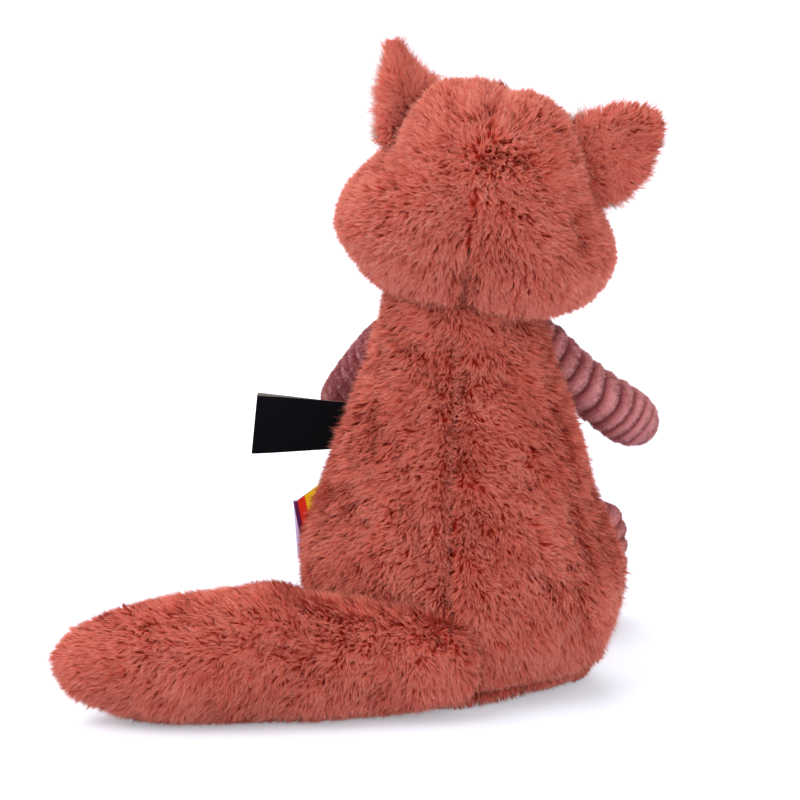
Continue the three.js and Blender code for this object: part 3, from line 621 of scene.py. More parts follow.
def add_nap(parts, points, count, rng, way_of, height, tone_of, closed=False, kept=None):
    """Very short single fibres, as on velvet. height is 0 in the grooves and 1 on the ribs."""
    normals = grid_normals(points, closed)
    root, up, level = scatter(points, normals, int(count * FINE), rng, closed, height)
    if kept is not None:
        keep = kept(root)
        root, up, level = root[keep], up[keep], level[keep]
    total = len(root)
    way = way_of(root)
    way = unit(way - (way * up).sum(-1, keepdims=True) * up)
    turn = rng.normal(0, 0.8, (total, 1))
    side = np.cross(way, up)
    way = way * np.cos(turn) + side * np.sin(turn)
    flat = unit(np.cross(way, up))
    long = NAP_LENGTH * rng.uniform(0.6, 1.25, (total, 1))
    tip = root + up * long * 0.8 + way * long * 0.5
    root = root - up * 0.25
    half = flat * NAP_WIDTH * rng.uniform(0.6, 1.3, (total, 1)) / 2
    verts = np.stack([root - half, root + half, tip], 1)
    bent = unit(np.broadcast_to(up[:, None], verts.shape) + 0.25 * rng.normal(size=(total, 1, 3)))
    faces = np.arange(total)[:, None] * 3 + [0, 1, 2]
    shade = tone_of(root)[:, None] + 0.26 * rng.normal(size=(total, 1))
    shade = shade + 0.12 * ripple(root, 23, 12)[:, None] + 0.2 * ripple(root, 24, 2.4)[:, None]
    u = np.clip(shade, 0.03, 0.95) + [0, 0.02, 0.01]
    # Darker at the roots and in the grooves, lighter at the tips: painted shade, and partly painted sheen at
    # the tips.
    v = level**1.3 * [0.5, 0.5, 0.66] + [0.06, 0.06, 0.3] + 0.1 * rng.normal(size=(total, 1))
    v = np.clip(v, 0, 0.98)
    parts.add(verts, bent, [(faces, np.stack([u, v], -1))])


# Materials
def rgb(red, green, blue):
    """A colour as written on a screen, in Blender's own values."""
    values = [(c / 255 + 0.055) / 1.055 if c > 10 else c / 255 / 12.92 for c in (red, green, blue)]
    return (*[v**2.4 if c > 10 else v for v, c in zip(values, (red, green, blue))], 1.0)


def new_material(name, roughness, sheen=0.0, specular=0.3, sheen_tint=(1, 1, 1, 1)):
    material = bpy.data.materials.new(name)
    material.use_nodes = True
    shader = material.node_tree.nodes["Principled BSDF"]
    shader.inputs["Roughness"].default_value = roughness
    shader.inputs["Sheen Weight"].default_value = sheen
    shader.inputs["Sheen Roughness"].default_value = 0.4
    shader.inputs["Sheen Tint"].default_value = sheen_tint
    shader.inputs["Specular IOR Level"].default_value = specular
    return material, material.node_tree, shader


def add_node(tree, kind, inputs=(), **settings):
    """A node with its settings, and with inputs that are values or outputs of other nodes."""
    node = tree.nodes.new("ShaderNode" + kind)
    for name, value in settings.items():
        setattr(node, name, value)
    for key, value in dict(inputs).items():
        if isinstance(value, bpy.types.NodeSocket):
            tree.links.new(value, node.inputs[key])
        else:
            node.inputs[key].default_value = value
    return node


def bake_place(tree):
    """X and Y of the place in the bake map."""
    places = add_node(tree, "UVMap", uv_map="OFBake")
    return add_node(tree, "SeparateXYZ", {"Vector": places.outputs["UV"]}).outputs


def blend(tree, share, first, second):
    mix = add_node(tree, "Mix", {"Factor": share, "A": first, "B": second}, data_type="RGBA")
    return mix.outputs["Result"]


def ramp(tree, value, stops, interpolation="LINEAR"):
    node = add_node(tree, "ValToRGB", {"Fac": value})
    node.color_ramp.interpolation = interpolation
    elements = node.color_ramp.elements
    while len(elements) < len(stops):
        elements.new(0.5)
    if len(stops) == 1:
        elements.remove(elements[1])
    for element, (place, color) in zip(elements, stops):
        element.position = place
        element.color = color
    return node.outputs["Color"]


def pile_material(name, dark_stops, light_stops, sheen=0.3, sheen_tint=(1, 1, 1, 1)):
    """Colour from the bake map: along each fibre from root to tip, and from dark to light tufts. The dark
    root end is painted shade for the depth of the pile, and the pale tip end is partly painted sheen.
    """
    material, tree, shader = new_material(name, 0.85, sheen, 0.1, sheen_tint)
    place = bake_place(tree)
    dark, light = (ramp(tree, place["Y"], stops) for stops in (dark_stops, light_stops))
    tree.links.new(blend(tree, place["X"], dark, light), shader.inputs["Base Color"])
    return material


# In each pile ramp below, the root end is darkened as painted shade in the depth of the pile, and the tip end
# is pale, partly as painted sheen.
CORAL = pile_material(
    "coral_plush",
    [(0.0, rgb(165, 28, 16)), (0.35, rgb(206, 62, 44)), (0.75, rgb(218, 92, 74)), (1.0, rgb(232, 134, 116))],
    [
        (0.0, rgb(185, 42, 26)), (0.35, rgb(228, 94, 74)),
        (0.75, rgb(240, 134, 114)), (1.0, rgb(254, 194, 176)),
    ],
    0.35,
    rgb(255, 168, 144),
)
PALE = pile_material(
    "cream_plush",
    [(0.0, rgb(150, 118, 98)), (0.4, rgb(205, 180, 160)), (1.0, rgb(232, 214, 198))],
    [(0.0, rgb(170, 140, 120)), (0.4, rgb(226, 206, 190)), (1.0, rgb(246, 234, 222))],
)
MASK = pile_material(
    "mask_plush",
    [(0.0, rgb(28, 16, 18)), (0.5, rgb(58, 34, 38)), (1.0, rgb(78, 48, 52))],
    [(0.0, rgb(36, 22, 24)), (0.5, rgb(76, 46, 50)), (1.0, rgb(104, 68, 72))],
    0.2,
)
# On the corduroy the low end of the ramp also darkens the grooves between the ribs: painted shade.
ROSE = pile_material(
    "rose_corduroy",
    [(0.0, rgb(66, 6, 10)), (0.35, rgb(104, 26, 32)), (0.7, rgb(138, 52, 56)), (1.0, rgb(164, 80, 84))],
    [
        (0.0, rgb(126, 40, 44)), (0.35, rgb(188, 98, 100)),
        (0.7, rgb(236, 158, 158)), (1.0, rgb(255, 214, 214)),
    ],
    0.3,
    rgb(255, 176, 180),
)


def satin_material(name, colors, band, reverse, roughness, specular):
    """Woven satin: slanted stripes of colour across a band, its reverse, and the weave as bump.

    band is where the first stripe starts, how far the stripes reach and how much they lean.
    """
    material, tree, shader = new_material(name, roughness, 0.0, specular)
    place = add_node(tree, "TexCoord").outputs["Object"]
    parts = add_node(tree, "SeparateXYZ", {"Vector": place}).outputs
    start, reach, lean = band
    middle = RIBBON_TAG["height"] * lean
    slanted = add_node(tree, "Math", {0: parts["Z"], 1: lean, 2: parts["X"]}, operation="MULTIPLY_ADD")
    limits = {"From Min": (start + middle) * MM, "From Max": (start + middle + reach) * MM}
    span = add_node(tree, "MapRange", {"Value": slanted.outputs[0], **limits})
    stripes = ramp(tree, span.outputs["Result"], colors, "CONSTANT")
    weave = add_node(tree, "TexWave", {"Scale": 900, "Distortion": 1.5, "Vector": place}, bands_direction="Z")
    bump = add_node(tree, "Bump", {"Strength": 0.25, "Distance": 0.1 * MM, "Height": weave.outputs["Fac"]})
    tree.links.new(bump.outputs["Normal"], shader.inputs["Normal"])
    outside = add_node(tree, "Math", {0: bake_place(tree)["Y"], 1: 0.06}, operation="GREATER_THAN")
    tree.links.new(blend(tree, outside.outputs[0], reverse, stripes), shader.inputs["Base Color"])
    return material


def plastic_material(name, color, roughness):
    """Moulded plastic with a faint unevenness."""
    material, tree, shader = new_material(name, roughness)
    place = add_node(tree, "TexCoord").outputs["Object"]
    noise = add_node(tree, "TexNoise", {"Scale": 900, "Vector": place})
    dark = tuple(0.8 * c for c in color[:3]) + (1.0,)
    shade = ramp(tree, noise.outputs["Fac"], [(0.3, dark), (0.7, color)])
    tree.links.new(shade, shader.inputs["Base Color"])
    return material


def done(obj, body, slot, *nodes, fill=None):
    """Rides on its body and takes the place of its nodes; its slot is not used."""
    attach(obj, body)
    if nodes:
        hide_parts(*nodes)
    return obj


# Body
BODY = (body_shares, (BODY_BOTTOM, BODY_HEIGHT, BODY_WIDTH, BODY_DEPTH))
QUARTER = math.pi / 2
middle_angle = at_angle(QUARTER)
left_seam, right_seam, left_seam_after = seam_angles(SIDE_SEAM_Y)


def body_half_width(height):
    table = np.array(body_shares)
    return np.interp((height - BODY_BOTTOM) / BODY_HEIGHT, table[:, 0], table[:, 1]) * BODY_WIDTH / 2


def body_lean(height):
    step = BODY_HEIGHT / len(body_shares)
    return math.atan2(body_half_width(height - step / 2) - body_half_width(height + step / 2), step)


def inside_body(points):
    """How far out a place is from the body's axis, as a share of the way to its surface."""
    table = smooth_table(body_shares, 600)
    share = (points[..., 2] - BODY_BOTTOM) / BODY_HEIGHT
    wide = np.interp(share, table[:, 0], table[:, 1]) * BODY_WIDTH / 2
    deep = np.interp(share, table[:, 0], table[:, 2]) * BODY_DEPTH / 2
    out = np.abs(points[..., 0] / wide) ** SQUARENESS + np.abs(points[..., 1] / deep) ** SQUARENESS
    return out ** (1 / SQUARENESS)


def body_comb(places, up):
    """Away from the seam in the middle of the back, and down."""
    x, y = places[:, 0], places[:, 1]
    radius = np.hypot(x, y)
    ahead = 0.45 * np.tanh(np.abs(x) / 8) * np.clip(1.1 - np.abs(x) / 38, -0.3, 1)
    side = np.sign(x) * ahead
    return np.stack([side * y / radius, -side * x / radius, -np.ones_like(x)], -1)


def settle(points):
    """Moves the body's grids: a slight sway to its left, and its right rear corner tucked in and up."""
    x, y, z = points[..., 0], points[..., 1], points[..., 2]
    corner = over(-x, 0, 30) * over(y, 0, 20) * np.clip(1 - z / 30, 0, 1)
    sway = np.interp(z, *SWAY)
    x = x - HIP_BULGE * hill(z, 50, 15) * over(-x, 0, 30)
    fold = 1 - FOLD_SHARE * hill(z, SEAT_PANEL_HEIGHT, 1.8) * (y > SIDE_SEAM_Y)
    valley = SEAM_VALLEY * hill(x, 0, 2.2) * over(y, 0, 10) * over(z, 20, 10)
    return np.stack([x * fold + sway, y * fold - corner * TUCK_IN - valley, z + corner * TUCK_UP], -1)


def arm_frame(side):
    lean = body_lean(SHOULDER_HEIGHT)
    out = np.array([side * math.cos(lean), 0, math.sin(lean)])
    down = np.array([side * math.sin(lean), 0, -math.cos(lean)])
    place = (side * body_half_width(SHOULDER_HEIGHT), SIDE_SEAM_Y, SHOULDER_HEIGHT)
    return axis_frame(down, np.cross(out, down), out, place)


def tail_middle(share):
    """Middle of the tail and its half depth and half height, from its place along the tail."""
    table = smooth_table(tail_shares, 300)
    thick, back, low = (np.interp(share, table[:, 0], table[:, k]) for k in (1, 2, 3))
    half = thick * TAIL_HEIGHT / 2
    y = TAIL_ROOT_Y + back * TAIL_SWEEP
    middle = np.stack([share * TAIL_LENGTH, y, low * TAIL_HEIGHT + BODY_BOTTOM + half], -1)
    return middle, thick * TAIL_DEPTH / 2, half


def in_tail(places, grow):
    middle, deep, half = tail_middle(np.clip(places[:, 0] / TAIL_LENGTH, 0, 1))
    off = (places - middle) / np.stack([deep, deep, half], -1)
    return (np.hypot(off[:, 1], off[:, 2]) < grow) & (places[:, 0] > -4)


def on_seam(local):
    """The bare line along a middle seam, which opens and closes along it."""
    line = ripple(local * [0, 0, 1], 51, 16, 4)
    return np.abs(local[:, 0]) < 0.35 + 0.4 * np.clip(line, 0, 1.5)


def near_arm_or_tail(places, up):
    """Where an arm or the tail is sewn on, and a thin line along the seams."""
    near = on_seam(places) | (places[:, 2] < SEAT_PANEL_HEIGHT + 1.2)
    for arm in ARMS.values():
        near |= np.linalg.norm(places - arm_frame(arm["side"])[1], axis=-1) < 8
    return near | in_tail(places, 0.85)


def body_run(places):
    """The pile stands up just over the fold of the seat, and lies flatter at the sides."""
    upright = np.clip((places[:, 2] - SEAT_PANEL_HEIGHT) / 7, 0.1, 1)
    return upright * (1 + 0.6 * over(np.abs(places[:, 0]), 0, 50))


def body_back(name, from_angle, to_angle, seed, nodes):
    rng = np.random.default_rng(seed)
    low = SEAT_PANEL_HEIGHT + 0.2
    grid = settle(upright_grid(BODY, low, BODY_TOP_CUT, from_angle, to_angle, 90, 60))
    parts = Parts()
    add_skin(parts, grid, SKIN_DEPTH)
    add_fur(parts, grid, STRANDS["body_back"], body_comb, FUR, rng, drop=near_arm_or_tail, run_of=body_run)
    obj = parts.mesh(f"body_back_{name}_plush", [CORAL])
    done(obj, "body", "coral_fur", *nodes, fill=0.85)


body_back("left", left_seam, middle_angle, 1, ["body_back_left", "body_stuffing"])
body_back("right", middle_angle, right_seam, 2, ["body_back_right"])


def seat_panel():
    """The fur ring at the floor and the flat panel under the toy."""
    rng = np.random.default_rng(3)
    parts = Parts()
    ring = upright_grid(BODY, 0.6, SEAT_PANEL_HEIGHT - 0.2, at_angle(0), at_angle(2 * math.pi), 10, 161)
    ring = settle(ring[:, :-1])
    inner = ring - grid_normals(ring, True) * SKIN_DEPTH
    bottom = inner[0]
    rings = [bottom * [s, s, 1] for s in np.linspace(0.04, 0.97, 24)]
    add_shell(parts, np.stack([*rings, *inner]), SKIN_THICKNESS, closed=True)

    def comb(places, up):
        away = unit(places * [1, 1, 0])
        return away * 0.2 + [0, 0, -1]

    def drop(places, up):
        return (places[:, 2] > SEAT_PANEL_HEIGHT - 1) | in_tail(places, 0.8)

    add_fur(parts, ring, STRANDS["seat"], comb, SEAT_FUR, rng, closed=True, drop=drop)
    add_fur(parts, np.stack(rings), STRANDS["under"], comb, UNDER_FUR, rng, closed=True)
    done(parts.mesh("seat_panel_plush", [CORAL]), "body", "coral_fur", "seat_panel", "pellet_bag", fill=0.7)


seat_panel()


def even_tone(places):
    return 0.6 + 0 * places[..., 0]


def rib_profile(phase):
    """Height of a rib from its groove, 0, to its top, 1."""
    t = 2 * (phase % 1) - 1
    return (1 - t**2) ** 0.55


def belly_panel():
    """Corduroy front of the body with its ribs upright."""
    rng = np.random.default_rng(4)
    low = SEAT_PANEL_HEIGHT + 0.2
    grid = settle(upright_grid(BODY, low, BODY_TOP_CUT, right_seam, left_seam_after, 80, 340))
    step = np.linalg.norm(np.diff(grid, axis=1), axis=-1)
    across = np.concatenate([np.zeros((len(grid), 1)), np.cumsum(step, axis=1)], axis=1)
    across = across - across[:, grid.shape[1] // 2][:, None]
    phase = across / RIB_PITCH + 0.08 * ripple(grid, 31, 60)
    height = rib_profile(phase)
    normals = grid_normals(grid, False)
    grid = grid + normals * ((height - 1) * BELLY_RIB_DEPTH + 0.3)[..., None]
    hips = [grid - np.array([side * HIP_ACROSS, -HIP_FORWARD, HIP_HEIGHT]) for side in (1, -1)]
    near = (np.minimum(*(np.linalg.norm(off, axis=-1) for off in hips)) < HIP_HOLE)[:-1, :-1]
    flip = np.indices(height.shape)[1] % 2 * 0.03
    # Darker in the grooves between the ribs: painted shade.
    uv = np.stack([even_tone(grid) + 0.1 * ripple(grid, 33, 30) + flip, 0.1 + 0.6 * height], -1)
    parts = Parts()
    add_shell(parts, grid, CORDUROY, kept=~near, places=uv)

    def kept(places):
        hip = np.abs(places) - np.array([HIP_ACROSS, HIP_FORWARD, HIP_HEIGHT])
        return np.linalg.norm(hip, axis=-1) > HIP_HOLE

    def down(places):
        return np.broadcast_to([0, 0, -1.0], places.shape)

    add_nap(parts, grid, FIBRES["belly"], rng, down, height, even_tone, kept=kept)
    done(parts.mesh("belly_panel_corduroy", [ROSE]), "body", "rose_corduroy", "belly_panel", fill=0.85)


belly_panel()


def neck():
    """The gathered neck: a cuff of pile between the body and the head."""
    rng = np.random.default_rng(5)
    height, wide, deep = (column[:, None] for column in smooth_table(neck_rings, 26).T)
    angle = np.linspace(0, 2 * math.pi, 121)[None, :-1]
    grid = np.stack([wide * np.cos(angle), deep * np.sin(angle), height + 0 * angle], -1)
    parts = Parts()
    add_skin(parts, grid, SKIN_DEPTH, closed=True)
    add_fur(parts, grid, STRANDS["neck"], body_comb, NECK_FUR, rng, closed=True)
    done(parts.mesh("neck_plush", [CORAL]), "neck", "coral_fur", "neck", fill=0.8)


neck()

# Head
HEAD_FORM = (head_shares, (-HEAD_BELOW, HEAD_HEIGHT, HEAD_WIDTH - 2 * HEAD_TRIM, HEAD_DEPTH))
HEAD_TURN = turn_matrix("Y", HEAD_LEAN)
HEAD = (HEAD_TURN, np.array([0, 0, NECK_HEIGHT]) + HEAD_TURN @ np.array([0, 0, HEAD_ABOVE_NECK]))
WHORL = np.array([-1.0, 0, 17.0])
left_face_seam, right_face_seam, left_face_seam_after = seam_angles(FACE_SEAM_Y)


def in_head(function):
    """A function of places and normals in the head's frame, for use in the world's."""
    matrix = HEAD[0]
    return lambda places, up: function(seen_from(HEAD, places), up @ matrix) @ matrix.T


def head_comb(places, up):
    """Away from the whorl on the back of the head, and forwards at the sides."""
    away = unit((places - WHORL) * [1, 0.15, 1])
    turn = 0.5 * np.exp(-np.hypot(places[:, 0], places[:, 2] - WHORL[2]) / 14)
    spun = away + np.stack([-away[:, 2], 0 * turn, away[:, 0]], -1) * turn[:, None]
    crown = over(places[:, 2:], 20, 12)
    slit = over(-places[:, 2:], 24, 8)
    strength = 0.12 + 0.1 * crown + 0.5 * slit
    seam = np.sign(places[:, :1]) * np.exp(-np.abs(places[:, :1]) / 4) * strength * [1, 0, 0]
    forwards = over(-places[:, 1:2], -30, 30)
    return spun + seam + forwards * [0, -0.7, -0.15]


def head_press(local):
    """How far the stuffed head gives way at places in its frame, on the crown, its sides and its seam."""
    x, z = local[..., 0], local[..., 2]
    crown = np.interp(x, *CROWN_PRESS) * over(z, 20, 14)
    right = 2.2 * hill(z, -1, 15) * over(-x, 14, 30)
    left = (2 * hill(z, 12, 9) + 2 * hill(z, -34, 7)) * over(x, 20, 15)
    back = over(local[..., 1], 0, 8)
    slit = SLIT_DEPTH * hill(x, 0, 2.6) * over(-z, 18, 12)
    whorl = WHORL_DEPTH * hill(x, WHORL[0], 4) * hill(z, WHORL[2], 4)
    return crown + right + left + (slit + whorl) * back


def head_grid(from_angle, to_angle, columns):
    """Part of the head between two angles, with its hollows, in the world's frame."""
    low, high = HEAD_OPEN_BELOW - HEAD_BELOW, HEAD_HEIGHT - HEAD_BELOW
    grid = upright_grid(HEAD_FORM, low, high, from_angle, to_angle, 90, columns)
    return place_in(HEAD, grid - grid_normals(grid, False) * head_press(grid)[..., None])


def from_whorl(places):
    local = seen_from(HEAD, places)
    return np.hypot(local[:, 0], local[:, 2] - WHORL[2]), local


def head_mess(places):
    """The pile is ruffled round the whorl and on the crown."""
    off, local = from_whorl(places)
    crown = over(local[:, 2], 8, 16) * over(local[:, 1], -10, 20)
    cheek = over(np.abs(local[:, 0]), 34, 10)
    return 0.6 * hill(off, 0, 7) + 0.6 * crown - 0.4 * cheek


def head_run(places):
    off = from_whorl(places)[0]
    return 1 + 0.55 * hill(off, 9, 7) - 0.6 * hill(off, 0, 4)


def ear_frame(ear):
    side, tilt, turn = ear["side"], math.radians(ear["tilt"]), math.radians(ear["turn"])
    out = np.array([side * math.cos(tilt), 0, math.sin(tilt)])
    level = np.array([side * math.sin(tilt), 0, -math.cos(tilt)])
    along = level * math.cos(turn) + np.array([0, math.sin(turn), 0])
    matrix, place = axis_frame(along, np.cross(out, along), out, (side * ear["across"], 0, ear["up"]))
    return HEAD[0] @ matrix, place_in(HEAD, place)


def near_ear(places, up):
    near = np.zeros(len(places), bool)
    for ear in EARS.values():
        local = seen_from(ear_frame(ear), places)
        x, y, z = np.abs(local - [0, 0, 2]).T
        near |= (x < EAR_BASE / 2 - 3) & (y < 3) & (z < 10)
    return near


def on_pole(local):
    """The top of the head, where its panels meet in a point."""
    return (np.hypot(local[:, 0], local[:, 1]) < 2.6) & (local[:, 2] > 30)


def near_head_seam(places, up):
    local = seen_from(HEAD, places)
    slit = (np.abs(local[:, 0]) < 0.5 + 0.07 * (-26 - local[:, 2])) & (local[:, 1] > 0)
    return near_ear(places, up) | on_seam(local) & (local[:, 1] > 0) | slit | on_pole(local)


def head_back(name, from_angle, to_angle, seed, nodes):
    rng = np.random.default_rng(seed)
    grid = head_grid(from_angle, to_angle, 60)
    parts = Parts()
    add_skin(parts, grid, SKIN_DEPTH)
    places = dict(drop=near_head_seam, run_of=head_run, mess_of=head_mess)
    add_fur(parts, grid, STRANDS["head_back"], in_head(head_comb), HEAD_FUR, rng, **places)
    done(parts.mesh(f"head_back_{name}_plush", [CORAL]), "head", "coral_fur", *nodes, fill=0.9)


head_back("left", left_face_seam, middle_angle, 6, ["head_back_left", "head_stuffing"])
head_back("right", middle_angle, right_face_seam, 7, ["head_back_right"])


def head_front(across, up):
    """The head's front at places across and up, in its own frame."""
    table = smooth_table(head_shares, 600)
    share = (up + HEAD_BELOW) / HEAD_HEIGHT
    wide = np.interp(share, table[:, 0], table[:, 1]) * HEAD_WIDTH / 2
    deep = np.interp(share, table[:, 0], table[:, 2]) * HEAD_DEPTH / 2
    rounded = (1 - np.clip(np.abs(across / wide), 0, 0.999) ** SQUARENESS) ** (1 / SQUARENESS)
    return np.stack([across, -deep * rounded, up + 0 * across], -1)


def face_frame(across, up):
    """Frame on the head's front, with Z out of the face, X across and Y up."""
    step = EYE_RADIUS
    across, up = np.array(across), np.array(up)
    place = head_front(across, up)
    right = head_front(across + step, up) - head_front(across - step, up)
    higher = head_front(across, up + step) - head_front(across, up - step)
    out = unit(np.cross(right, higher))
    across_axis = unit(right)
    return axis_frame(across_axis, np.cross(out, across_axis), out, place)


def patch_frame(side):
    matrix, place = face_frame(side * (EYE_ACROSS + PATCH_SHIFT), EYE_UP - PATCH_DROP)
    return matrix @ turn_matrix("Z", side * PATCH_TILT), place


def patch_share(local, side):
    """How far out a place in the head's frame is from an eye patch's middle, where 1 is its edge."""
    flat = seen_from(patch_frame(side), local)
    return np.hypot(flat[..., 0] / (PATCH_LENGTH / 2), flat[..., 1] / (PATCH_WIDTH / 2))


def muzzle_share(local):
    """The same for the muzzle."""
    middle = np.array([0, MUZZLE_LENGTH / 2 - MUZZLE_REACH, -MUZZLE_DROP])
    radii = np.array([MUZZLE_WIDTH, MUZZLE_LENGTH, MUZZLE_HEIGHT]) / 2
    return np.linalg.norm((local - middle) / radii, axis=-1)


def on_patch_or_muzzle(local):
    hit = muzzle_share(local) < 0.96
    for side in (1, -1):
        hit |= (patch_share(local, side) < 0.97) & (local[..., 1] < 0)
    return hit


def face_comb(places, up):
    """Away from the muzzle."""
    return places - np.array([0, -40, -MUZZLE_DROP + 4])


def face_panel():
    """The face: coral, with cream round the muzzle and over the eyes."""
    rng = np.random.default_rng(8)
    grid = head_grid(right_face_seam, left_face_seam_after, 90)
    parts = Parts()
    add_skin(parts, grid, SKIN_DEPTH)

    def cream(local):
        brow = np.zeros(local.shape[:-1], bool)
        for side in (1, -1):
            lifted = local - np.array([0, 0, 5.5])
            brow |= patch_share(lifted, side) < 1.08
        cheek = patch_share(local + np.array([0, 0, 6.5]), 1) < 1.05
        cheek |= patch_share(local + np.array([0, 0, 6.5]), -1) < 1.05
        return (brow | cheek | (muzzle_share(local) < 1.28)) & (local[..., 1] < 0)

    def drop_coral(places, up):
        local = seen_from(HEAD, places)
        return near_ear(places, up) | on_patch_or_muzzle(local) | cream(local) | on_pole(local)

    def drop_cream(places, up):
        local = seen_from(HEAD, places)
        return near_ear(places, up) | on_patch_or_muzzle(local) | ~cream(local)

    def rise_of(places):
        return 1 - 0.9 * over(seen_from(HEAD, places)[:, 2], 28, 10)

    comb = in_head(face_comb)
    count = STRANDS["face"]
    add_fur(parts, grid, count, comb, FACE_FUR, rng, drop=drop_coral, rise_of=rise_of)
    add_fur(parts, grid, count, comb, dict(FACE_FUR, rise=2.6), rng, drop=drop_cream, slot=1)
    done(parts.mesh("face_panel_plush", [CORAL, PALE]), "head", "coral_fur", "face_panel", fill=0.9)


face_panel()


def ellipsoid_rings(radii, rows, columns, from_turn):
    """Rings along Z about the middle, from a turn up to the far end."""
    turn = math.pi * np.linspace(from_turn, 0.499, rows)[:, None]
    angle = np.linspace(0, 2 * math.pi, columns + 1)[None, :-1]
    x, y = np.cos(turn) * np.cos(angle), np.cos(turn) * np.sin(angle)
    return radii * np.stack([x, y, np.sin(turn) + 0 * angle], -1)


# Turns Z to -Y, so that rings run along the way the face looks
FORWARDS = np.array([[1.0, 0, 0], [0, 0, -1], [0, 1, 0]])


def muzzle():
    rng = np.random.default_rng(9)
    radii = np.array([MUZZLE_WIDTH, MUZZLE_HEIGHT, MUZZLE_LENGTH]) / 2
    middle = [0, MUZZLE_LENGTH / 2 - MUZZLE_REACH, -MUZZLE_DROP]
    grid = ellipsoid_rings(radii, 50, 80, -0.12) @ FORWARDS.T + middle
    groove = hill(grid[..., 0], 0, 1.1) * over(-grid[..., 2], MUZZLE_DROP - NOSE_LIFT, 6)
    grid = grid - grid_normals(grid, True) * (1.1 * groove * (grid[..., 1] < -50))[..., None]
    grid = place_in(HEAD, grid)
    parts = Parts()
    add_skin(parts, grid, SHORT_FUR["depth"], closed=True)

    def comb(places, up):
        return np.stack([places[:, 0] * 0.06, 1 + 0 * places[:, 0], places[:, 2] * 0 - 0.25], -1)

    def drop(places, up):
        local = seen_from(HEAD, places)
        x, y, z = local.T
        above_nose = z - NOSE_LIFT + MUZZLE_DROP
        under_nose = np.hypot(x / (NOSE_WIDTH / 2), above_nose / (NOSE_HEIGHT / 2)) < 0.9
        return under_nose & (y < -40) | (np.abs(x) < 0.5) & (y < -52) & (above_nose < 0)

    add_fur(parts, grid, STRANDS["muzzle"], in_head(comb), SHORT_FUR, rng, closed=True, drop=drop)
    done(parts.mesh("muzzle_plush", [PALE]), "head", "pale_fur", "muzzle_panel", "muzzle_stuffing", fill=0.9)


muzzle()


def eye_patch(name, side):
    """Short dark pile on a pad of felt."""
    rng = np.random.default_rng(10 + side)
    matrix, place = patch_frame(side)
    share = np.linspace(0.02, 1, 14)[:, None]
    angle = np.linspace(0, 2 * math.pi, 73)[None, :-1]
    flat = np.stack([PATCH_LENGTH / 2 * share * np.cos(angle), PATCH_WIDTH / 2 * share * np.sin(angle)], -1)
    rough = flat[..., 0:1] * matrix[:, 0] + flat[..., 1:2] * matrix[:, 1] + place
    on_face = head_front(rough[..., 0], rough[..., 2])
    grid = place_in(HEAD, (on_face - grid_normals(on_face, True) * (FELT + 0.3))[::-1])
    parts = Parts()
    add_shell(parts, grid, FELT, closed=True)
    eye_place = face_frame(side * EYE_ACROSS, EYE_UP)[1]

    def drop(places, up):
        return np.linalg.norm(seen_from(HEAD, places) - eye_place, axis=-1) < EYE_RADIUS * 0.92

    def comb(places, up):
        return places - eye_place

    add_fur(parts, grid, STRANDS["eye_patch"], in_head(comb), PATCH_FUR, rng, closed=True, drop=drop)
    done(parts.mesh(f"eye_patch_{name}_plush", [MASK]), "head", "dark_felt", f"eye_patch_{name}")


BLACK_PLASTIC = plastic_material("black_plastic_gloss", rgb(14, 13, 15), 0.08)
CLEAR_PLASTIC = plastic_material("washer_plastic", rgb(216, 218, 220), 0.4)


def add_solid(parts, grid):
    """A grid of rings as a solid body, with its bake places laid out by rows and columns."""
    rows, columns = grid.shape[:2]
    r, c = np.indices((rows - 1, columns))
    a, b = r * columns + c, r * columns + (c + 1) % columns
    faces = np.stack([a, b, b + columns, a + columns], -1).reshape(-1, 4)
    u, v = c / columns, r / (rows - 1)
    du, dv = 1 / columns, 1 / (rows - 1)
    corners = ((0, 0), (1, 0), (1, 1), (0, 1))
    uv = np.stack([np.stack([u + i * du, v + j * dv], -1) for i, j in corners], 2)
    parts.add(grid, grid_normals(grid, True), [(faces, uv.reshape(-1, 4, 2))])
    for row, order in ((0, -1), (rows - 1, 1)):
        ring = grid[row]
        out = unit(np.cross(ring[1] - ring[0], ring[2] - ring[1]))
        turn = 2 * math.pi * np.arange(columns) / columns
        disc = 0.5 + 0.02 * np.stack([np.cos(turn), np.sin(turn)], -1)[None]
        face = np.arange(columns)[::order][None, :]
        parts.add(ring, np.broadcast_to(out * order, ring.shape), [(face, disc)])


STEM_LENGTH = 8
STEM_RADIUS = 1.6


def button(name, node, frame_of, radii, lift):
    """A dome on a stem: an eye or the nose."""
    rings = [(STEM_RADIUS, STEM_RADIUS, -STEM_LENGTH), (STEM_RADIUS, STEM_RADIUS, lift - 0.02)]
    rings += [(radii[0] * 0.86, radii[1] * 0.86, lift - 0.25)]
    for t in np.linspace(0, QUARTER * 0.985, 22):
        rings += [(radii[0] * math.cos(t), radii[1] * math.cos(t), lift + radii[2] * math.sin(t))]
    angle = np.linspace(0, 2 * math.pi, 49)[:-1]
    wide, deep, height = (column[:, None] for column in np.array(rings).T)
    grid = np.stack([wide * np.cos(angle), deep * np.sin(angle), height + 0 * angle], -1)
    parts = Parts()
    add_solid(parts, place_in(HEAD, place_in(frame_of, grid)))
    done(parts.mesh(name, [BLACK_PLASTIC]), "head", "black_plastic", node)


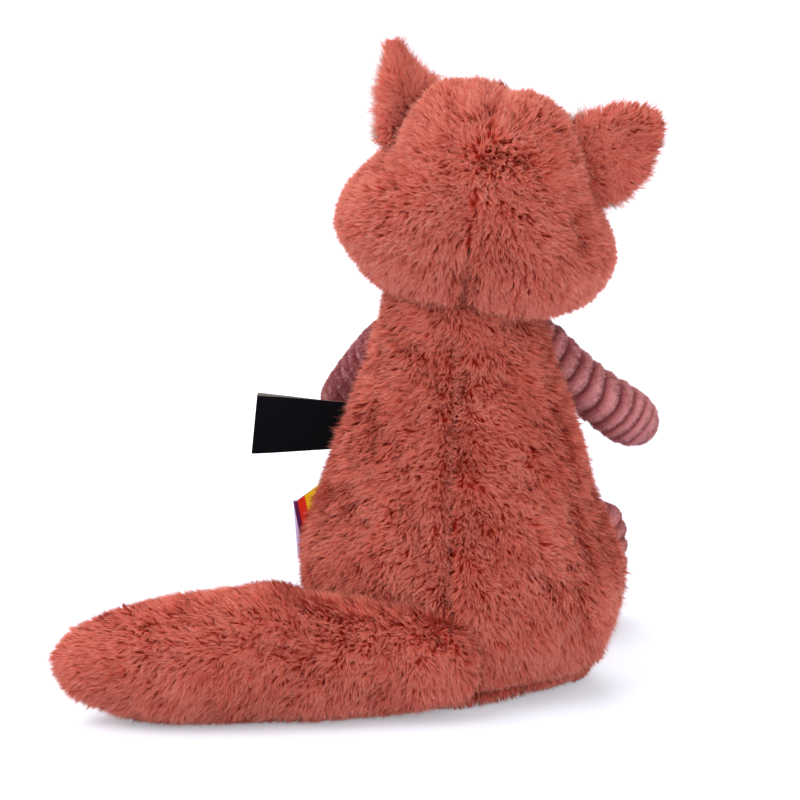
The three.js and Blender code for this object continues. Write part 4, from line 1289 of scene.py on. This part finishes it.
for name, side in (("left", 1), ("right", -1)):
    eye_patch(name, side)
    eye_seat = face_frame(side * EYE_ACROSS, EYE_UP)
    button(f"eye_{name}_dome", f"eye_{name}", eye_seat, (EYE_RADIUS, EYE_RADIUS, EYE_HEIGHT), FELT + 0.6)
nose_seat = (MUZZLE_LENGTH / 2) * math.sqrt(1 - (2 * NOSE_LIFT / MUZZLE_HEIGHT) ** 2)
NOSE = (FORWARDS, np.array([0, MUZZLE_LENGTH / 2 - MUZZLE_REACH - nose_seat, NOSE_LIFT - MUZZLE_DROP]))
button("nose_button", "nose", NOSE, (NOSE_WIDTH / 2, NOSE_HEIGHT / 2, NOSE_DEPTH), 0.3)
for washer in ("nose_washer", "eye_washer_left", "eye_washer_right"):
    frame["nodes"][washer].data.materials.clear()
    frame["nodes"][washer].data.materials.append(CLEAR_PLASTIC)


# Ears
def ear(name, spec):
    """Two halves: the fur back and the cream lining."""
    table = smooth_table(ear_shares, 46)
    frame_of = ear_frame(spec)
    for part, start, material, slot in (("back", 0, CORAL, "coral_fur"), ("lining", 1, PALE, "pale_fur")):
        half = start if spec["side"] > 0 else 1 - start
        rng = np.random.default_rng(20 + 2 * spec["side"] + start)
        angle = np.linspace(half * math.pi, (half + 1) * math.pi, 40)
        out, wide, thick = table[:, :1], table[:, 1:2], table[:, 2:]
        lean = spec["shift"] - (out ** spec["bend"]) * spec["lean"]
        narrowed = (1 - spec["pinch"] * out) * wide * EAR_BASE / 2
        x = lean + narrowed * bulge(np.cos(angle), EAR_SQUARENESS)
        y = thick * EAR_THICKNESS / 2 * bulge(np.sin(angle), EAR_SQUARENESS)
        if part == "lining":
            cup = 1.5 * (1 - np.abs(np.cos(angle)) ** 2) * np.clip(out * 2, 0, 1)
            y = y + cup * spec["side"] * 0.6
        grid = place_in(frame_of, np.stack([x, y, out * EAR_LENGTH + 0 * x], -1) * spec["sewn"])
        parts = Parts()
        pile = EAR_PILES[part]
        add_skin(parts, grid, pile["depth"], along=0.25 + 0.27 * start)

        def comb(places, up):
            local = seen_from(frame_of, places)
            away = np.stack([local[:, 0] * 1.1, 0 * local[:, 0], np.abs(local[:, 2]) * 0.7 + 10], -1)
            return away @ frame_of[0].T

        def run_of(places):
            local = seen_from(frame_of, places)
            return np.clip((EAR_LENGTH - local[:, 2]) / 16, spec["least_run"], 1)

        def on_rim(places, up):
            local = seen_from(frame_of, places)
            rim = np.abs((up @ frame_of[0])[:, 1]) < 0.75
            return rim & ((local[:, 2] > 4) | (local[:, 0] > 8))

        drop = on_rim if part == "lining" else None
        add_fur(parts, grid, STRANDS[f"ear_{part}"], comb, pile, rng, drop=drop, run_of=run_of)
        obj = parts.mesh(f"ear_{part}_{name}_plush", [material])
        done(obj, f"ear_{name}", slot, f"ear_{part}_{name}", fill=0.4)


for ear_name, ear_spec in EARS.items():
    ear(ear_name, ear_spec)


# Limbs of ribbed corduroy
def limb_rings(shares, path, side, radius, rows, columns):
    """Rings along a curve: their middles, radii, ways out, places along it in mm, directions and angles."""
    table = smooth_table(shares, 600)
    places, ways, length = catmull(path, 400)
    along = np.linspace(shares[0][0], shares[-1][0], rows)
    thick = np.interp(along, table[:, 0], table[:, 1]) * radius
    steps = np.linspace(0, 1, 400)
    middle = np.column_stack([np.interp(along, steps, places[:, k]) for k in range(3)])
    way = unit(np.column_stack([np.interp(along, steps, ways[:, k]) for k in range(3)]))
    deep = np.cross(way, side)
    angle = np.linspace(0, 2 * math.pi, columns + 1)[:-1]
    ring = side * np.cos(angle)[:, None] + deep[:, None, :] * np.sin(angle)[:, None]
    return middle, thick, ring, along * length, way, angle


def add_ribbed(
    parts, rows, phase, height_scale, frame_of, rng, nap, tone_of, keep_rows=None, seam_at=None,
):
    """Cloth with ribs and nap over the rings of limb_rings, and a seam along it at an angle."""
    middle, thick, ring, _, way, angle = rows
    wobble = 0.1 * ripple(ring * 10 + middle[:, None, :], 41, 30)
    height = rib_profile(phase[:, None] + wobble)
    radius = thick[:, None] + ((height - 1) * RIB_DEPTH + 0.9) * height_scale[:, None]
    if seam_at is not None:
        off = (angle - seam_at + math.pi) % (2 * math.pi) - math.pi
        arc = off[None, :] * thick[:, None]
        ridge = hill(np.abs(arc), 0.9, 0.5) * 0.55 - hill(arc, 0, 0.4) * 0.9
        radius = radius + ridge * np.clip(height_scale, 0, 1)[:, None]
    grid = middle[:, None, :] + ring * np.maximum(radius, 0.2)[..., None]
    grid = place_in(frame_of, grid)
    if keep_rows is not None:
        grid, height = grid[keep_rows], height[keep_rows]
    flip = np.indices(height.shape)[1] % 2 * 0.03
    # Darker in the grooves between the ribs: painted shade.
    uv = np.stack([tone_of(grid) + 0.1 * ripple(grid, 43, 25) + flip, 0.04 + 0.6 * height**1.3], -1)
    add_shell(parts, grid, 1.0, closed=True, places=np.clip(uv, 0.02, 0.97))
    ways = place_in((frame_of[0], np.zeros(3)), way)
    tips = place_in(frame_of, middle)

    def nap_way(places):
        away = np.linalg.norm(places[:, None, :] - tips[None, ::12, :], axis=-1)
        return ways[np.argmin(away, axis=1) * 12]

    add_nap(parts, grid, nap, rng, nap_way, height, closed=True, tone_of=tone_of)


def rib_phase(place, start_fine, pitch, fine_pitch):
    """Ribs of one pitch, and finer ones past a place."""
    rate = np.where(place < start_fine, 1 / pitch, 1 / fine_pitch)
    return np.concatenate([[0], np.cumsum(rate[:-1] * np.diff(place))])


def arm(name, spec):
    rng = np.random.default_rng(30 + spec["side"])
    out, forward = math.radians(spec["out"]), math.radians(spec["forward"])
    level = math.cos(out)
    way = np.array([level * math.cos(forward), -spec["side"] * level * math.sin(forward), math.sin(out)])
    points = spec["path"]
    path = [share * ARM_LENGTH * way + np.array([-higher, 0, lift]) for share, lift, higher in points]
    side = unit(np.cross([0, 0, 1], way))
    rows = limb_rings(arm_shares, path, side, ARM_RADIUS, 200, 96)
    place = rows[3]
    hand = HAND_SHARE * place[-1]
    phase = rib_phase(place, hand, spec["pitch"], HAND_RIB_PITCH)
    scale = np.where(place < hand, 1.3, 0.7) * np.clip((place[-1] - place) / 4, 0.15, 1)
    parts = Parts()
    middle, thick, *rest = rows
    slim = np.interp(np.linspace(0, 1, len(thick)), ARM_SLIM_SHARES, spec["slim"])
    rows = (middle, thick * slim, *rest)
    frame_of = arm_frame(spec["side"])

    # Darker towards the shoulder and, on the left arm, darker all over: painted shade from the head and body.
    def tone_of(places):
        return spec["tone_and_shade"] + spec["painted_shade_fade"] * np.linalg.norm(places - frame_of[1], axis=-1) / ARM_LENGTH

    add_ribbed(parts, rows, phase, scale, frame_of, rng, FIBRES["arm"], tone_of, seam_at=QUARTER)
    nodes = [f"arm_{name}", f"arm_stuffing_{name}"]
    done(parts.mesh(f"arm_{name}_corduroy", [ROSE]), f"arm_{name}", "rose_corduroy", *nodes, fill=0.85)


for arm_name, arm_spec in ARMS.items():
    arm(arm_name, arm_spec)


def leg_tone_with_painted_light(places):
    """Lighter towards the toes, as painted light on the foot."""
    return 0.95 + 0.2 * over(places[..., 2], 0, FOOT_HEIGHT)


def leg(name, side):
    """The leg along the floor and the foot that is sewn on it."""
    rng = np.random.default_rng(34 + side)
    low = LEG_RADIUS + BODY_BOTTOM - HIP_HEIGHT
    lift = FOOT_HEIGHT - HIP_HEIGHT - low
    path = [np.array([0, -along * LEG_REACH, low + up * lift]) for along, up in leg_path_shares]
    rows = limb_rings(leg_shares, path, np.array([1.0, 0, 0]), LEG_RADIUS, 330, 96)
    middle, place = rows[0], rows[3]
    phase = place / RIB_PITCH
    scale = np.clip((place[-1] - place) / 5, 0.15, 1)
    hip = np.array([side * HIP_ACROSS, -HIP_FORWARD, HIP_HEIGHT])
    frame_of = (turn_matrix("Z", side * LEG_SPREAD), hip)
    on_leg = middle[:, 1] > -FOOT_SEAM_SHARE * LEG_REACH
    for part, keep in (("leg", on_leg), ("foot", ~on_leg)):
        parts = Parts()
        add_ribbed(parts, rows, phase, scale, frame_of, rng, FIBRES[part], leg_tone_with_painted_light, keep_rows=keep)
        nodes = [f"{part}_{name}"] + ([f"leg_stuffing_{name}"] if part == "leg" else [])
        obj = parts.mesh(f"{part}_{name}_corduroy", [ROSE])
        done(obj, f"leg_{name}", "rose_corduroy", *nodes, fill=0.85)


leg("left", 1)
leg("right", -1)


# Tail
def tail():
    """The tail in two panels, with a rounded root against the body."""
    share = smooth_table(tail_shares, 120)[:, 0]
    middle, deep, half = tail_middle(share)
    hump = TAIL_HUMP * hill(share, 0.44, 0.08)
    half = half + hump / 2 + TAIL_TIP_SWELL * hill(share, 0.97, 0.035)
    middle = middle + hump[:, None] * [0, 0, 0.5]
    turn = np.linspace(-0.48 * math.pi, 0, 11)[:-1]
    cap = middle[:1] + np.stack([TAIL_ROOT_CAP * np.sin(turn), 0 * turn, 0 * turn], -1)
    middle = np.concatenate([cap, middle])
    deep = np.concatenate([deep[0] * np.cos(turn), deep])
    half = np.concatenate([half[0] * np.cos(turn), half])
    angle = np.linspace(0, 2 * math.pi, 121)
    ring = np.stack([0 * angle, np.cos(angle), np.sin(angle)], -1)
    grid = middle[:, None, :] + ring * np.stack([0 * deep, deep, half], -1)[:, None, :]
    inside = grid - grid_normals(grid, False) * SKIN_DEPTH
    out = inside_body(inside)
    push = np.where((out < 1) & (out > 0.05), 1 / np.maximum(out, 0.05), 1.0)
    skin = inside * np.stack([push, push, np.ones_like(push)], -1)

    def comb(places, up):
        along = np.clip(places[:, :1] / TAIL_LENGTH, 0, 1)
        height = places[:, 2:] / TAIL_HEIGHT
        facing = np.clip(up[:, 1:2], 0, 1)
        down = (0.25 + 0.9 * facing * (1 - height)) * (1 - 0.5 * along)
        lying = np.concatenate([0.75 + 0.5 * along, 0.1 + 0 * along, -down], -1)
        fan = unit((places - TAIL_FAN) * [1, 0.3, 1])
        near = hill(places[:, :1], 0, 30)
        return unit(lying) * (1 - near) + fan * near

    def rise_of(places):
        return 0.35 + 0.65 * over(places[:, 2], 0, 12) - 0.25 * over(places[:, 2], 20, 15)

    def drop(places, up):
        return (inside_body(places) < 1.0) | (places[:, 2] < 0.3) & (up[:, 2] < -0.5)

    columns = {"back": [*range(90, 120), *range(46)], "front": [*range(45, 91)]}
    for part, seed in (("back", 40), ("front", 41)):
        rng = np.random.default_rng(seed)
        parts = Parts()
        add_shell(parts, skin[:, columns[part]], SKIN_THICKNESS)
        half_grid, count = grid[:, columns[part]], STRANDS[f"tail_{part}"]
        add_fur(parts, half_grid, count, comb, TAIL_FUR, rng, drop=drop, rise_of=rise_of)
        obj = parts.mesh(f"tail_{part}_plush", [CORAL])
        nodes = ["tail", "tail_stuffing"] if part == "back" else []
        done(obj, "tail", "coral_fur", *nodes, fill=0.85)


tail()


# Care label and ribbon tag
def strip(name, node, spec, materials, slot, shape):
    """A ribbon folded into a flat loop, with its root along the side seam.

    shape(out, up, layer) gives how far a place is moved out, back and up: out and up are shares
    of the reach and the height, and layer is 1 on the layer towards the back of the toy.
    """
    height, tall, reach, thickness, flare = spec.values()
    slope = math.tan(body_lean(height))
    root = body_half_width(height) + thickness / 2 + TRIM_CLEARANCE
    radius = thickness / 2 - 0.15
    half_turn = np.linspace(-QUARTER, QUARTER, 17)
    out = np.linspace(0, reach, 50)
    squeeze = 1 - 0.55 * np.sin(out / reach * math.pi)
    lower = [(x, -radius * s) for x, s in zip(out, squeeze)]
    upper = [(x, radius * s) for x, s in zip(out[::-1], squeeze[::-1])]
    turn = [(reach + radius * math.cos(t), radius * math.sin(t)) for t in half_turn]
    line = np.array(lower + turn[1:-1] + upper)
    up = np.linspace(-0.5, 0.5, 40)
    share = np.clip(line[:, :1] / reach, 0, 1) + 0 * up
    layer = np.clip(line[:, 1:] / radius, -1, 1) + 0 * up
    z = up * tall + 0 * line[:, :1]
    kept = 1 + (flare - 1) * share
    x, y = root + line[:, :1] - slope * kept * z, SIDE_SEAM_Y + line[:, 1:] + 0 * z
    flat = np.stack([x, y, height + z], -1)
    grid = (flat + np.stack(shape(share, up + 0 * share, layer), -1))[::-1]
    parts = Parts()
    rows, columns = grid.shape[:2]
    r, c = np.indices((rows, columns))
    uv = np.stack([0.01 + 0.98 * c / (columns - 1), 0.1 + 0.89 * r / (rows - 1)], -1)
    add_shell(parts, grid, 0.3, places=uv)
    obj = parts.mesh(name, materials, floor=False)
    done(obj, node, slot, node)


def label_shape(out, up, layer):
    """A slight curl, with the far layer a little higher so that its cut edge shows."""
    curl = 0.9 * np.sin(2.2 * out + 1.2 * up) * out
    lift = over(-layer, 0, 1) * 1.1 * over(out, 0.35, 0.3)
    narrow = -5.0 * up * (1 - out) ** 1.3
    return 0 * out, curl, lift + narrow


def tag_shape(out, up, layer):
    """The tag hangs down towards its fold, and its lower end is drawn to a point."""
    drop = 3 - (9.5 - 1.5 * (0.5 - up)) * out
    drawn = 2.0 * out * (0.5 - up)
    return -drawn, 2.2 * out * (0.5 - up) - 0.6 * out, drop


label_root = body_half_width(CARE_LABEL["height"])
tag_root = body_half_width(RIBBON_TAG["height"])
BLACK = [(0.0, rgb(6, 5, 9))]
BLACK_SATIN = satin_material("black_satin_weave", BLACK, (label_root, 1, 0), rgb(132, 124, 118), 0.7, 0.05)
STRIPES = satin_material(
    "striped_satin_weave",
    [(0.0, rgb(236, 196, 10)), (0.38, rgb(220, 44, 18)), (0.74, rgb(92, 14, 70)), (0.93, rgb(200, 184, 226))],
    (tag_root + 0.6, RIBBON_TAG["reach"] + 1.6, -0.22),
    rgb(200, 184, 226),
    0.5,
    0.2,
)
strip("care_label_satin", "care_label", CARE_LABEL, [BLACK_SATIN], "black_satin", label_shape)
strip("ribbon_tag_satin", "ribbon_tag", RIBBON_TAG, [STRIPES], "striped_ribbon", tag_shape)


# Floor, light and camera
def flat_square(name, half, height):
    me = bpy.data.meshes.new(name)
    corners = [(x * half, y * half, height) for x, y in ((-1, -1), (1, -1), (1, 1), (-1, 1))]
    me.from_pydata(corners, [], [(0, 1, 2, 3)])
    obj = bpy.data.objects.new(name, me)
    bpy.context.scene.collection.objects.link(obj)
    return obj


def directly_seen(tree):
    """1 for what the camera and mirrors see directly, and 0 for the rest."""
    path = add_node(tree, "LightPath").outputs
    seen = add_node(tree, "Math", {0: path["Is Camera Ray"], 1: path["Is Glossy Ray"]}, operation="MAXIMUM")
    return seen.outputs[0]


FLOOR_SIZE = 12
# Where the floor's glow starts to grow and where it is full, in metres, and its strength there
FLOOR_GLOW = {"From Min": 0.2, "From Max": 0.9, "To Min": 0.33, "To Max": 0.8}
SKY_STRENGTH = 0.65
SEEN_SKY_STRENGTH = 0.4


def floor():
    obj = flat_square("floor", FLOOR_SIZE, 0)
    material = bpy.data.materials.new("white_floor")
    material.use_nodes = True
    tree = material.node_tree
    tree.nodes.remove(tree.nodes["Principled BSDF"])
    white = add_node(tree, "BsdfDiffuse", {"Color": (0.81, 0.84, 0.93, 1)})
    place = add_node(tree, "TexCoord").outputs["Object"]
    distance = add_node(tree, "VectorMath", {0: place}, operation="LENGTH")
    further = add_node(tree, "MapRange", {"Value": distance.outputs["Value"], **FLOOR_GLOW})
    inputs = {0: directly_seen(tree), 1: further.outputs["Result"]}
    seen = add_node(tree, "Math", inputs, operation="MULTIPLY")
    glow = add_node(tree, "Emission", {"Color": (0.93, 0.96, 1, 1), "Strength": seen.outputs[0]})
    both = add_node(tree, "AddShader", {0: white.outputs[0], 1: glow.outputs[0]})
    tree.links.new(both.outputs[0], tree.nodes["Material Output"].inputs["Surface"])
    obj.data.materials.append(material)


def world():
    sky = bpy.data.worlds.new("studio")
    bpy.context.scene.world = sky
    sky.use_nodes = True
    tree = sky.node_tree
    background = tree.nodes["Background"]
    background.inputs["Color"].default_value = (1, 1, 1, 1)
    inputs = {0: directly_seen(tree), 1: SEEN_SKY_STRENGTH, 2: SKY_STRENGTH}
    strength = add_node(tree, "Math", inputs, operation="MULTIPLY_ADD")
    tree.links.new(strength.outputs[0], background.inputs["Strength"])


def softbox(name, place, size, power):
    light = bpy.data.lights.new(name, "AREA")
    light.shape = "RECTANGLE"
    light.size, light.size_y = size
    light.energy = power
    obj = bpy.data.objects.new(name, light)
    obj.location = place
    aim = Vector((0, 0, 0.1)) - Vector(place)
    obj.rotation_mode = "QUATERNION"
    obj.rotation_quaternion = aim.to_track_quat("-Z", "Y")
    bpy.context.scene.collection.objects.link(obj)


def camera():
    data = bpy.data.cameras.new("camera")
    data.sensor_width = SENSOR
    data.lens = FOCAL_PIXELS / IMAGE_PIXELS * SENSOR
    data.clip_start = 0.05
    data.clip_end = 60
    obj = bpy.data.objects.new("camera", data)
    a, e = math.radians(VIEW_AZIMUTH), math.radians(VIEW_ELEVATION)
    back = Vector((math.sin(a) * math.cos(e), -math.cos(a) * math.cos(e), math.sin(e)))
    obj.location = (Vector(VIEW_TARGET) + back * VIEW_DISTANCE) * MM
    obj.rotation_mode = "QUATERNION"
    obj.rotation_quaternion = (-back).to_track_quat("-Z", "Y")
    bpy.context.scene.collection.objects.link(obj)
    bpy.context.scene.camera = obj


floor()
world()
softbox("key", (1.0, 0.8, 1.4), (1.3, 1.3), 17)
softbox("fill", (-1.1, 1.4, 0.8), (0.9, 0.9), 10)
softbox("rim", (0.2, -1.2, 1.4), (1.0, 0.6), 12)
camera()

scene = bpy.context.scene
scene.view_settings.view_transform = "Standard"
